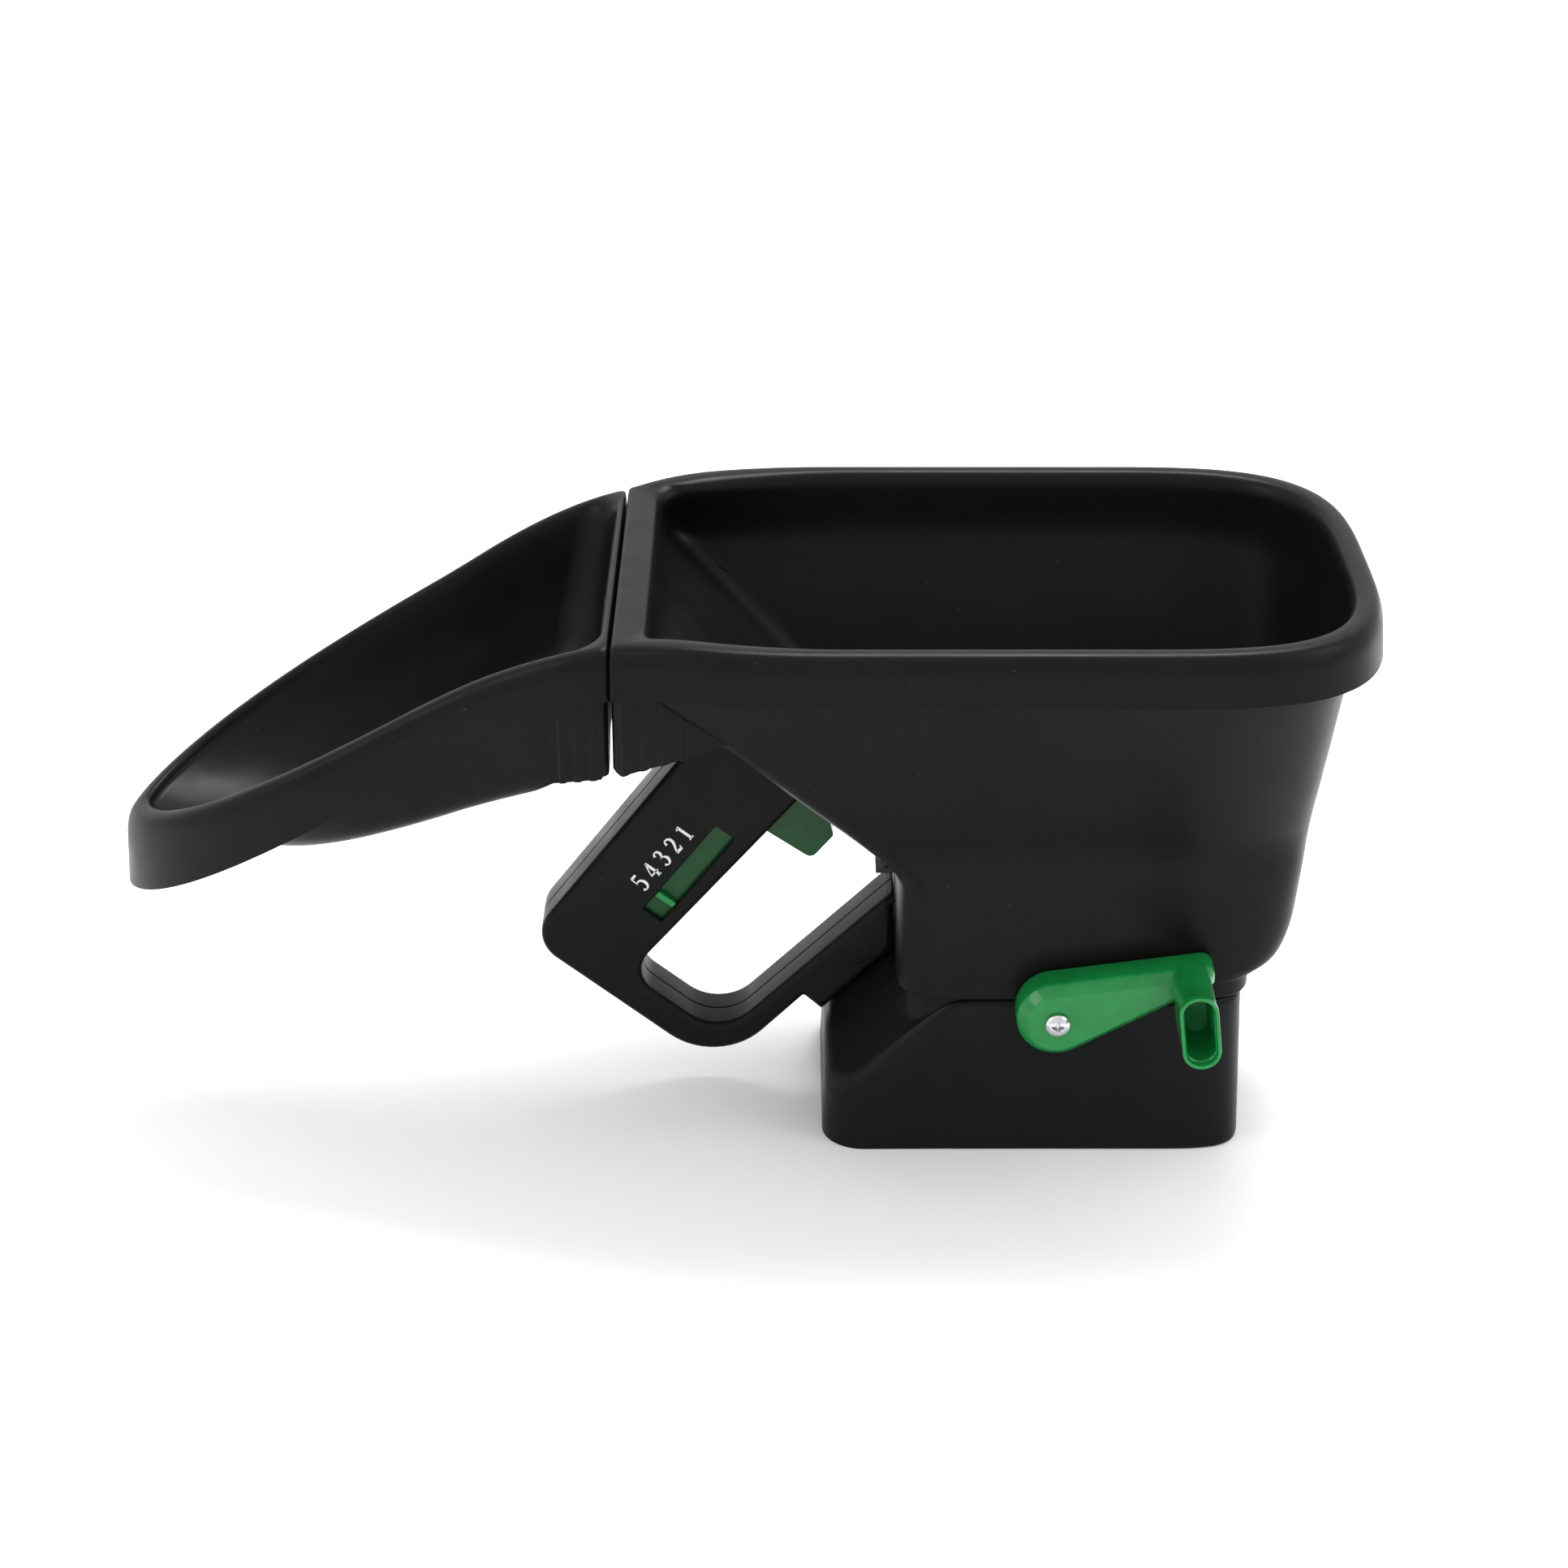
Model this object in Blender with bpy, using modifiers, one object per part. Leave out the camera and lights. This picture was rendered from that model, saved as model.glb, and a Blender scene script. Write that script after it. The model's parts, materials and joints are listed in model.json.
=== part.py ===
"""Hand-held broadcast spreader with an arm rest, a trigger handle and a side crank.

The frame: +X runs from the arm rest to the hopper's round end, +Y is away from the crank,
+Z is up, and the base stands on Z = 0.  Lengths are written in millimetres and multiplied
by MM when they reach Blender.
"""
import math

import bmesh
import bpy
from mathutils import Matrix, Vector

MM = 0.001
GAP = 0.3                       # clearance that touching pieces keep

# Hopper and rim
RIM_TOP = 247.0
RIM_RIGHT = 256.5
RIM_HALF = 103.5
JOINT_X = -47.0                 # the plane where the arm rest meets the hopper
JOINT_HALF = 88.0
SKIRT_DROP = 21.0
RIM_WALL = 2.4
CAP_CENTRE = 150.0              # the round end of every hopper outline is drawn about this X
RIM_TAPER = 82.0                # length over which the rim widens from the joint
BEND_START = -10.0              # the rim is level to the right of this X
BEND_RADIUS = 170.0
BEND_SLOPE = 0.585

# Funnel, floor and neck
SLOPE_SUM = 191.0               # the funnel's left underside is the line X + Z = SLOPE_SUM
FLOOR_TOP = 110.0
FLOOR_UNDER = 107.5
NECK_LEFT = 66.0
NECK_RIGHT = 212.4
NECK_HALF = 57.0
NECK_BOTTOM = 72.4
NECK_WALL = 2.5
PORT = (84.0, 106.0, 16.0)      # left, right and half width of the outlet

# Arm rest
ARM_RIGHT = -48.2
ARM_TIP = -256.5
ARM_HALF = 87.5
ARM_WALL = 2.2

# Base
BASE_LEFT = 36.0
BASE_RIGHT = 212.0
BASE_HALF = 56.6
BASE_WALL = 2.8
BASE_TOP = 72.0
LIP_TOP = 80.0                  # top of the lip that plugs into the neck
LIP_WALL = 2.6
SEAT_RISE = 6.3                 # the slanted seat is the line Z = X + SEAT_RISE
SEAT_FLAT = 16.0                # half width of the flat seat under the handle's leg
ROOF_FALL = 0.57                # fall of the roof per millimetre away from the seat
WINDOW_SILL = (5.0, 33.0)       # bottom and top of the discharge window
WINDOW_HALF = 38.0

# Drive
AXIS_X = 130.5                  # the upright shaft stands at this X, on Y = 0
CRANK_Z = 71.5
CROWN_TEETH = 24
PINION_TEETH = 8
CROWN_RADIUS = 20.0
CROWN_ROOT = 8.3                # distance of the crown's root and tip planes from the upright shaft's axis
CROWN_TIP = 5.45
SHAFT_RADIUS = 3.0
CRANK_SHAFT_RADIUS = 4.0
SPINNER_RADIUS = 50.0
VANES = 4

# Crank
HUB_BACK = -58.6
HUB_FRONT = -74.6
KNOB_MOUTH = -101.0
KNOB_CENTRE = (185.0, 82.6)
KNOB_SIZE = (15.2, 32.4)
KNOB_TILT = math.radians(7.0)
CRANK_CORNERS = [(114.0, 43.5, 16.4), (194.0, 87.9, 2.0), (194.0, 97.1, 5.0), (114.0, 85.86, 16.4)]

# Handle: corners are (X, Z, radius), counter-clockwise
HANDLE_HALF = 14.0
HANDLE_WALL = 2.6
HANDLE_RIM = 3.0                # bevel of the handle's outer edges
HANDLE_CORNERS = [
    (-0.42, 190.82, 0), (-88.7, 76.5, 15), (-8.7, 12.7, 30), (27.8, 49.2, 0), (35.5, 42.3, 0), (65.5, 72.2, 0),
    (65.5, 99.7, 0), (-7.65, 29.05, 20), (-46.1, 59.7, 12), (36.1, 154.3, 0),
]
GRIP_ANGLE = math.radians(51.8)
GRIP = Vector((math.cos(GRIP_ANGLE), math.sin(GRIP_ANGLE)))
WINDOW_CENTRE = (-20.3, 108.0)
WINDOW_SIZE = (50.0, 10.0)
POINTER_AT = (-30.1, 95.8)
PLUG_RADIUS = 7.0
SEAT_NORMAL = (-0.7071, 0.0, 0.7071)

# Trigger
PIVOT = (26.0, 156.0)           # trigger pivot, X and Z
ROD_EYE = (36.0, 133.0)         # where the gate rod enters the trigger
TAIL_EYE = 62.0                 # X where the rod stands in the gate's tail
TRIGGER_HALF = 8.4
TRIGGER_CORNERS = [
    (8.0, 128.6, 2), (31.0, 112.8, 3), (40.2, 123.6, 1.5), (36.2, 139.0, 6), (30.2, 157.0, 3.4),
    (21.6, 160.0, 3.4), (9.0, 138.0, 3),
]

# Screws, each by the two coordinates across its axis
BASE_SCREWS = [(x, y) for x in (86.0, 188.0) for y in (-42.0, 42.0)]
GUIDE_SCREWS = [(118.0, -24.0), (118.0, 24.0)]
ARM_SCREWS = [(-48.0, 205.0), (48.0, 205.0)]
BRACKET_SCREWS = [(AXIS_X, -48.0), (AXIS_X, 48.0)]
FOOT_SCREW = (-62.0, 66.0)
TONGUE_SCREW = (5.0, 175.0)
LEG_SCREW = (50.0, 72.0)
SEAT_SPOT = (46.0, 0.0, 52.3)

# Coupling between hopper and arm rest
FRAME_HALF = 84.0
RIB_COUNT = 4

BLACK = (0.0105, 0.0115, 0.011, 1.0)
GREEN = (0.011, 0.235, 0.05, 1.0)
DARK = (0.02, 0.021, 0.022, 1.0)
IVORY = (0.62, 0.6, 0.54, 1.0)
STEEL = (0.62, 0.63, 0.65, 1.0)
BRASS = (0.7, 0.5, 0.2, 1.0)


def clear_scene():
    """Remove every object and collection that the new file came with."""
    for item in list(bpy.data.objects):
        bpy.data.objects.remove(item, do_unlink=True)
    for group in list(bpy.data.collections):
        bpy.data.collections.remove(group)


def collection(name):
    """Make a collection under the scene's own."""
    group = bpy.data.collections.new(name)
    bpy.context.scene.collection.children.link(group)
    return group


def material(name, colour, roughness, metallic=0.0):
    """Make a Principled material."""
    made = bpy.data.materials.new(name)
    made.use_nodes = True
    shader = made.node_tree.nodes["Principled BSDF"]
    shader.inputs["Base Color"].default_value = colour
    shader.inputs["Roughness"].default_value = roughness
    shader.inputs["Metallic"].default_value = metallic
    return made


clear_scene()
PARTS = collection("hand_spreader")
CUTTERS = collection("cutters")
BLACK_PLASTIC = material("black_plastic", BLACK, 0.42)
GREEN_PLASTIC = material("green_plastic", GREEN, 0.22)
GEAR_PLASTIC = material("gear_plastic", IVORY, 0.4)
DARK_PLASTIC = material("dark_plastic", DARK, 0.45)
STEEL_BRIGHT = material("zinc_steel", STEEL, 0.28, 1.0)
BRASS_BUSH = material("brass_bush", BRASS, 0.35, 1.0)


# ---------------------------------------------------------------- mesh helpers

def add_mesh(name, verts, faces, look, group=None):
    """Make an object from points in millimetres, with all faces turned outwards."""
    mesh = bpy.data.meshes.new(name)
    mesh.from_pydata([Vector(v) * MM for v in verts], [], faces)
    work = bmesh.new()
    work.from_mesh(mesh)
    bmesh.ops.recalc_face_normals(work, faces=work.faces)
    work.to_mesh(mesh)
    work.free()
    if look:
        mesh.materials.append(look)
    mesh.shade_smooth()
    mesh.set_sharp_from_angle(angle=math.radians(35))
    made = bpy.data.objects.new(name, mesh)
    (group or PARTS).objects.link(made)
    return made


def hide_cutter(made):
    """Keep a cutter out of the build and draw it as wire."""
    for group in list(made.users_collection):
        group.objects.unlink(made)
    CUTTERS.objects.link(made)
    made.hide_render = True
    made.display_type = "WIRE"


def boolean(target, tool, operation):
    """Cut or join a tool object into a target."""
    hide_cutter(tool)
    step = target.modifiers.new(operation.lower(), "BOOLEAN")
    step.operation = operation
    step.object = tool
    step.solver = "EXACT"


def cut(target, tool):
    boolean(target, tool, "DIFFERENCE")


def join(target, tool):
    boolean(target, tool, "UNION")


def along(axis):
    """Rotation that takes +Z onto an axis."""
    return Vector((0, 0, 1)).rotation_difference(Vector(axis)).to_matrix().to_4x4()


def box(name, low, high, look=BLACK_PLASTIC, bevel=0.0):
    """A box between two corners, with an optional bevel of its edges."""
    work = bmesh.new()
    bmesh.ops.create_cube(work, size=1.0)
    size = [(b - a) * MM for a, b in zip(low, high)]
    middle = [(a + b) / 2 * MM for a, b in zip(low, high)]
    bmesh.ops.scale(work, vec=size, verts=work.verts)
    bmesh.ops.translate(work, vec=middle, verts=work.verts)
    if bevel:
        bmesh.ops.bevel(work, geom=work.edges[:], offset=bevel * MM, segments=2, affect="EDGES",
                        profile=0.5)
    return from_bmesh(name, work, look)


def from_bmesh(name, work, look):
    """Turn a bmesh in metres into a smooth-shaded object."""
    mesh = bpy.data.meshes.new(name)
    work.to_mesh(mesh)
    work.free()
    mesh.materials.append(look)
    mesh.shade_smooth()
    mesh.set_sharp_from_angle(angle=math.radians(35))
    made = bpy.data.objects.new(name, mesh)
    PARTS.objects.link(made)
    return made


def cylinder(name, start, axis, length, radius, look=BLACK_PLASTIC, sides=24, top_radius=None):
    """A cylinder or cone from a start point along an axis."""
    work = bmesh.new()
    end = radius if top_radius is None else top_radius
    bmesh.ops.create_cone(work, cap_ends=True, segments=sides, radius1=radius * MM, radius2=end * MM,
                          depth=length * MM)
    bmesh.ops.translate(work, vec=(0, 0, length / 2 * MM), verts=work.verts)
    bmesh.ops.transform(work, matrix=Matrix.Translation(Vector(start) * MM) @ along(axis), verts=work.verts)
    return from_bmesh(name, work, look)


def bore(target, start, axis, length, radius, sides=24):
    """Cut a round hole into a target."""
    cut(target, cylinder("bore", start, axis, length, radius, sides=sides))


def turned(name, profile, start, axis, look, sides=24):
    """A solid of revolution: (radius, height) pairs, top first, about an axis through start."""
    mesh = bpy.data.meshes.new(name)
    verts = [(radius * MM, 0, height * MM) for radius, height in profile]
    mesh.from_pydata(verts, [(k, k + 1) for k in range(len(verts) - 1)], [])
    mesh.materials.append(look)
    made = bpy.data.objects.new(name, mesh)
    PARTS.objects.link(made)
    made.matrix_world = Matrix.Translation(Vector(start) * MM) @ along(axis)
    screw = made.modifiers.new("turn", "SCREW")
    screw.steps = sides
    screw.render_steps = sides
    screw.use_merge_vertices = True
    screw.merge_threshold = 0.00001
    return made


def collar(name, start, axis, length, outer, inner, look, flange=0.0, flange_length=1.0):
    """A plain bush, with an optional flange at its start."""
    made = cylinder(name, start, axis, length, outer, look, 28)
    if flange:
        join(made, cylinder("flange", start, axis, flange_length, flange, look, 28))
    step = Vector(axis)
    bore(made, Vector(start) - step, axis, length + 2, inner)
    return made


def pan_screw(name, seat, axis, length, shank, head, head_height=2.2, look=STEEL_BRIGHT):
    """A pan-head screw: seat is under the head, axis points from the head to the tip."""
    profile = [
        (0.0, -head_height),
        (0.7 * head, -head_height),
        (head, -0.4 * head_height),
        (head, 0.0),
        (shank, 0.0),
        (shank, length - shank),
        (0.0, length),
    ]
    profile = [(radius, -height) for radius, height in profile]
    return turned(name, profile, seat, Vector(axis) * -1, look, 12)


# ---------------------------------------------------------------- outlines

def smooth(value):
    """Ease from 0 to 1."""
    t = min(max(value, 0.0), 1.0)
    return t * t * (3 - 2 * t)


def rim_drop(x):
    """How far the rim lies under RIM_TOP: level, a bend of BEND_RADIUS, then a straight slope."""
    run = max(BEND_START - x, 0.0)
    bend = BEND_SLOPE * BEND_RADIUS
    if run < bend:
        return run * run / (2 * BEND_RADIUS)
    return bend * bend / (2 * BEND_RADIUS) + BEND_SLOPE * (run - bend)


def hopper_outline(left, right, half, corner, power, half_left=None):
    """A D-shaped outline: a superellipse on the right, straight sides, a left end with round corners."""
    start = half if half_left is None else half_left
    reach = right - CAP_CENTRE
    side = []
    for k in range(13):
        turn = math.radians(7.5 * k)
        c, s = math.cos(turn), math.sin(turn)
        radius = (abs(c / reach) ** power + abs(s / half) ** power) ** (-1 / power)
        side.append((CAP_CENTRE + radius * c, radius * s))
    for k in range(1, 9):
        x = CAP_CENTRE + (left + corner - CAP_CENTRE) * k / 8
        rise = min(max((x - left) / RIM_TAPER, 0.0), 1.0)
        side.append((x, start + (half - start) * rise * (2.0 - rise)))
    last = side[-1][1]
    for k in range(1, 5):
        turn = math.radians(22.5 * k)
        side.append((left + corner - corner * math.sin(turn), last - corner + corner * math.cos(turn)))
    for k in range(1, 3):
        side.append((left, (last - corner) * (1 - k / 2)))
    return side + [(x, -y) for x, y in side[-2:0:-1]]


def lifted(outline, height):
    """Lay an outline at a height, which is a number or a function of X."""
    if callable(height):
        return [(x, y, height(x)) for x, y in outline]
    return [(x, y, height) for x, y in outline]


def below_rim(drop):
    """Height function for a loop that follows the rim at a distance below it."""
    return lambda x: RIM_TOP - rim_drop(x) - drop


def loft(name, loops, look, closed, cap_last=False):
    """Skin equal loops; a closed loft joins the last loop to the first."""
    count = len(loops[0])
    verts = [point for loop in loops for point in loop]
    faces = []
    for a in range(len(loops) if closed else len(loops) - 1):
        b = (a + 1) % len(loops)
        for k in range(count):
            nxt = (k + 1) % count
            faces.append((a * count + k, a * count + nxt, b * count + nxt, b * count + k))
    if cap_last:
        faces.append(tuple(range((len(loops) - 1) * count, len(loops) * count)))
    return add_mesh(name, verts, faces, look)


def rounded(corners, steps=5):
    """An outline from (x, z, radius) corners, each radius an arc tangent to both edges."""
    outline = []
    count = len(corners)
    for k, (x, z, radius) in enumerate(corners):
        here = Vector((x, z))
        if radius == 0:
            outline.append((x, z))
            continue
        back = (Vector(corners[k - 1][:2]) - here).normalized()
        ahead = (Vector(corners[(k + 1) % count][:2]) - here).normalized()
        half_angle = back.angle(ahead) / 2
        middle = here + (back + ahead).normalized() * (radius / math.sin(half_angle))
        start = here + back * (radius / math.tan(half_angle)) - middle
        end = here + ahead * (radius / math.tan(half_angle)) - middle
        sweep = math.atan2(start.x * end.y - start.y * end.x, start.dot(end))
        for s in range(steps + 1):
            turn = sweep * s / steps
            c, sn = math.cos(turn), math.sin(turn)
            outline.append((middle.x + start.x * c - start.y * sn, middle.y + start.x * sn + start.y * c))
    return outline


def inset(corners, distance):
    """Move every edge of a counter-clockwise corner list inwards and adapt the radii."""
    count = len(corners)
    moved = []
    for k in range(count):
        here = Vector(corners[k][:2])
        before = (here - Vector(corners[k - 1][:2])).normalized()
        after = (Vector(corners[(k + 1) % count][:2]) - here).normalized()
        n1 = Vector((-before.y, before.x))
        n2 = Vector((-after.y, after.x))
        point = here + (n1 + n2) / (1 + n1.dot(n2)) * distance
        convex = before.x * after.y - before.y * after.x > 0
        radius = corners[k][2] + (-distance if convex else distance)
        moved.append((point.x, point.y, max(radius, 0.0) if corners[k][2] else 0.0))
    return moved


def prism(name, outline, low, high, look=BLACK_PLASTIC, bevel=0.0, across="Y"):
    """Extrude an X-Z outline along Y, or a Y-Z outline along X; bevel rounds the edges at the low end."""
    def place(a, b, depth):
        return (a * MM, depth * MM, b * MM) if across == "Y" else (depth * MM, a * MM, b * MM)

    work = bmesh.new()
    face = work.faces.new([work.verts.new(place(a, b, low)) for a, b in outline])
    grown = bmesh.ops.extrude_face_region(work, geom=[face], use_keep_orig=True)["geom"]
    far = [item for item in grown if isinstance(item, bmesh.types.BMVert)]
    bmesh.ops.translate(work, vec=place(0, 0, high - low), verts=far)
    bmesh.ops.recalc_face_normals(work, faces=work.faces)
    if bevel:
        bmesh.ops.bevel(work, geom=face.edges[:], offset=bevel * MM, segments=3, affect="EDGES", profile=0.5)
    return from_bmesh(name, work, look)


def half_block(low, high, point, normal):
    """The part of a box that lies on the side of a plane that its normal points to."""
    work = bmesh.new()
    bmesh.ops.create_cube(work, size=1.0)
    bmesh.ops.scale(work, vec=[(b - a) * MM for a, b in zip(low, high)], verts=work.verts)
    bmesh.ops.translate(work, vec=[(a + b) / 2 * MM for a, b in zip(low, high)], verts=work.verts)
    everything = work.verts[:] + work.edges[:] + work.faces[:]
    bmesh.ops.bisect_plane(work, geom=everything, plane_co=Vector(point) * MM, plane_no=normal,
                           clear_inner=True)
    bmesh.ops.holes_fill(work, edges=work.edges)
    bmesh.ops.recalc_face_normals(work, faces=work.faces)
    return from_bmesh("half_block", work, BLACK_PLASTIC)


# ---------------------------------------------------------------- hopper

def hopper_loops():
    """Loops around the hopper's wall section: skirt, rim, inside, floor, port, underside, neck, outside."""
    def rim(margin, drop, left=None, corner=2.0, power=3.5):
        edge = JOINT_X + (margin if left is None else left)
        outline = hopper_outline(edge, RIM_RIGHT - margin, RIM_HALF - margin, corner, power,
                                 JOINT_HALF - margin)
        return lifted(outline, below_rim(drop))

    def level(left, right, half, corner, power, z):
        return lifted(hopper_outline(left, right, half, corner, power), z)

    port_loop = port_outline()
    inner_half = NECK_HALF - NECK_WALL
    inner_left = NECK_LEFT + NECK_WALL
    inner_right = NECK_RIGHT - NECK_WALL
    return [
        rim(0.0, SKIRT_DROP, 0.0),
        rim(1.5, 7.0, 0.0),
        rim(2.7, 2.6, 0.6),
        rim(5.5, 0.5, 1.6),
        rim(8.0, 0.0, 3.0),
        rim(11.5, 1.0, 13.5, 12.0),
        rim(13.0, 5.0, 15.5, 13.0),
        level(-29.6, 243.0, 89.3, 8.0, 3.6, 224.0),
        level(51.3, 232.6, 55.2, 10.0, 4.5, 143.4),
        level(inner_left, 230.8, inner_half, 14.0, 5.0, 126.2),
        level(70.0, 228.6, 54.0, 16.0, 5.0, 118.0),
        level(74.0, 222.0, 50.0, 14.0, 5.0, 111.4),
        lifted(port_loop, FLOOR_TOP),
        lifted(port_loop, FLOOR_UNDER),
        level(inner_left, 226.6, inner_half, 15.5, 5.5, FLOOR_UNDER),
        level(inner_left, 226.0, inner_half, 15.5, 5.5, 97.0),
        level(inner_left, 220.4, inner_half, 15.5, 6.0, 88.0),
        level(inner_left, inner_right, inner_half, 15.5, 7.0, 83.6),
        level(inner_left, inner_right, inner_half, 15.5, 7.0, NECK_BOTTOM),
        level(NECK_LEFT, NECK_RIGHT, NECK_HALF, 18.0, 7.0, NECK_BOTTOM),
        level(NECK_LEFT, NECK_RIGHT, NECK_HALF, 18.0, 7.0, 80.4),
        level(NECK_LEFT, 216.0, NECK_HALF, 18.0, 6.5, 81.2),
        level(NECK_LEFT, 224.0, NECK_HALF, 18.0, 6.0, 86.0),
        level(NECK_LEFT, 229.4, NECK_HALF, 18.0, 5.5, 96.0),
        level(NECK_LEFT, 233.0, NECK_HALF, 16.0, 5.0, 125.0),
        level(49.5, 235.0, NECK_HALF + 0.6, 12.0, 4.5, 141.5),
        level(-35.0, 245.6, 92.0, 10.0, 3.6, 226.0),
        rim(10.6, 3.2, 13.0, 14.0),
        rim(3.9, 3.2, RIM_WALL),
        rim(RIM_WALL, SKIRT_DROP, RIM_WALL),
    ]


def port_outline():
    """The outlet's edge, a squarish superellipse with as many points as a hopper outline has."""
    floor = hopper_outline(74.0, 222.0, 50.0, 14.0, 5.0)
    centre_x = sum(x for x, _ in floor) / len(floor)
    left, right, half = PORT
    edge = []
    for x, y in floor:
        turn = math.atan2(y / 50.0, (x - centre_x) / 74.0)
        c, s = math.cos(turn), math.sin(turn)
        radius = (abs(2 * c / (right - left)) ** 8 + abs(s / half) ** 8) ** (-1 / 8)
        edge.append(((left + right) / 2 + radius * c, radius * s))
    return edge


def coupling_frame():
    """The wall under the deck at the joint: an end plate with returns that die into the funnel."""
    outer = [(-46.8, 225.0), (-46.8, 187.0), (-45.0, 185.6), (-41.0, 185.6), (-4.9, 195.9), (-34.0, 225.0)]
    made = prism("coupling_frame", outer, -FRAME_HALF, FRAME_HALF)
    hollow = [(-44.4, 240.0), (-44.4, 180.0), (60.0, 180.0), (60.0, 240.0)]
    cut(made, prism("coupling_hollow", hollow, 2.2 - FRAME_HALF, FRAME_HALF - 2.2))
    return made


def tongue(name, extra):
    """The lug under the funnel that the two handle halves grip."""
    corners = [(-6.0, 180.3), (10.0, 164.3), (19.0, 173.3), (3.0, 189.3)]
    middle = Vector((6.5, 176.8))
    spread = [middle + (Vector(c) - middle) * (1 + extra / 10.0) for c in corners]
    return prism(name, [tuple(c) for c in spread], -3.4 - extra, 3.4 + extra)


def hopper():
    """The hopper: funnel, rim and skirt, floor with its outlet, and the neck that hides the gears."""
    made = loft("hopper", hopper_loops(), BLACK_PLASTIC, closed=True)
    join(made, coupling_frame())
    for side in (-1, 1):
        for k in range(RIB_COUNT):
            x = -41.0 + 7.0 * k
            inner, outer = sorted((side * (FRAME_HALF - 0.4), side * (FRAME_HALF + 1.0)))
            join(made, box("rib", (x, inner, 188.5 + 2.0 * k), (x + 1.6, outer, 224.6)))
    join(made, cylinder("shaft_boss", (AXIS_X, 0, 109.0), (0, 0, 1), 5.0, 9.0))
    bore(made, (AXIS_X, 0, 100), (0, 0, 1), 20, 5.7)
    cut(made, box("gate_slot", (60, -6.8, 104.0), (72, 6.8, 107.3)))
    bore(made, (AXIS_X, -45, CRANK_Z), (0, -1, 0), 20, 7.3)
    for x, y in BASE_SCREWS:
        join(made, cylinder("post", (x, y, 81.0), (0, 0, 1), 28.0, 4.0, sides=12))
        bore(made, (x, y, 80.0), (0, 0, 1), 14.0, 1.7, 12)
    for x, y in GUIDE_SCREWS:
        join(made, cylinder("guide_boss", (x, y, 109.0), (0, 0, 1), 4.5, 3.4, sides=12))
        bore(made, (x, y, 104.0), (0, 0, 1), 8.4, 1.5, 12)
    for y, z in ARM_SCREWS:
        bore(made, (JOINT_X - 1, y, z), (1, 0, 0), 8, 2.3, 16)
    join(made, tongue("tongue", 0.0))
    bore(made, (TONGUE_SCREW[0], -10, TONGUE_SCREW[1]), (0, 1, 0), 20, 2.0, 12)
    return made


# ---------------------------------------------------------------- arm rest

def arm_outline(right, tip, half, corner):
    """A scoop outline: a straight end at the joint, sides that narrow, and a blunt round tip."""
    length = right - tip
    side = [(right, (half - corner) * k / 3) for k in range(3)]
    for k in range(5):
        turn = math.radians(22.5 * k)
        side.append((right - corner + corner * math.cos(turn), half - corner + corner * math.sin(turn)))
    start = corner / length
    for k in range(1, 16):
        t = start + (1 - start) * math.sin(math.radians(90 * k / 16)) ** 1.15
        width = half - 0.15 * half * (smooth(t / 0.4) - smooth(start / 0.4))
        side.append((right - t * length, width * (1 - t ** 3.9) ** 0.62))
    side.append((tip, 0.0))
    return side + [(x, -y) for x, y in side[-2:0:-1]]


def arm_skirt(x):
    """Skirt height, growing from the joint to the tip."""
    return SKIRT_DROP + 10.0 * (ARM_RIGHT - x) / (ARM_RIGHT - ARM_TIP)


def trough_floor(x):
    """Inside floor of the trough: a straight fall away from the joint."""
    return 173.0 - 0.375 * (-56.0 - x)


def rim_height(x):
    """Height of the rim's crest."""
    return RIM_TOP - rim_drop(x)


def arm_loops():
    """Loops over the visible side of the arm rest: skirt, rim, inside wall and floor."""
    def rim(margin, drop, end, corner):
        outline = arm_outline(ARM_RIGHT - end, ARM_TIP + margin, ARM_HALF - margin, corner)
        return lifted(outline, lambda x: rim_height(x) - drop)

    skirt = arm_outline(ARM_RIGHT, ARM_TIP, ARM_HALF, 2.0)
    middle = arm_outline(ARM_RIGHT - 5.6, -226.0, 68.0, 18.0)
    low = arm_outline(ARM_RIGHT - 7.0, -202.0, 60.0, 20.0)
    floor = arm_outline(ARM_RIGHT - 12.0, -188.0, 50.0, 18.0)
    return [
        lifted(skirt, lambda x: rim_height(x) - arm_skirt(x)),
        rim(1.5, 7.0, 0.0, 2.0),
        rim(2.8, 2.6, 0.4, 2.5),
        rim(5.6, 0.5, 1.4, 4.0),
        rim(8.0, 0.0, 2.4, 6.0),
        rim(11.2, 1.0, 3.6, 14.0),
        rim(12.6, 5.0, 4.4, 15.0),
        lifted(middle, lambda x: 0.55 * trough_floor(x) + 0.45 * rim_height(x)),
        lifted(low, lambda x: trough_floor(x) + 9.0),
        lifted(floor, trough_floor),
    ]


def arm_rest():
    """The arm rest: a scoop whose rim carries the hopper's rim on, and a flange round its end."""
    made = loft("arm_rest", arm_loops(), BLACK_PLASTIC, closed=False, cap_last=True)
    shell = made.modifiers.new("wall", "SOLIDIFY")
    shell.thickness = ARM_WALL * MM
    shell.offset = -1.0
    shell.use_even_offset = True
    flange = [(-82, 226, 0), (-76, 196, 10), (-56, 170, 8), (56, 170, 8), (76, 196, 10), (82, 226, 0)]
    join(made, prism("end_flange", rounded(flange), ARM_RIGHT - 4.0, ARM_RIGHT, across="X"))
    for y, z in ARM_SCREWS:
        bore(made, (ARM_RIGHT - 30, y, z), (1, 0, 0), 40, 2.3, 16)
    return made


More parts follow.
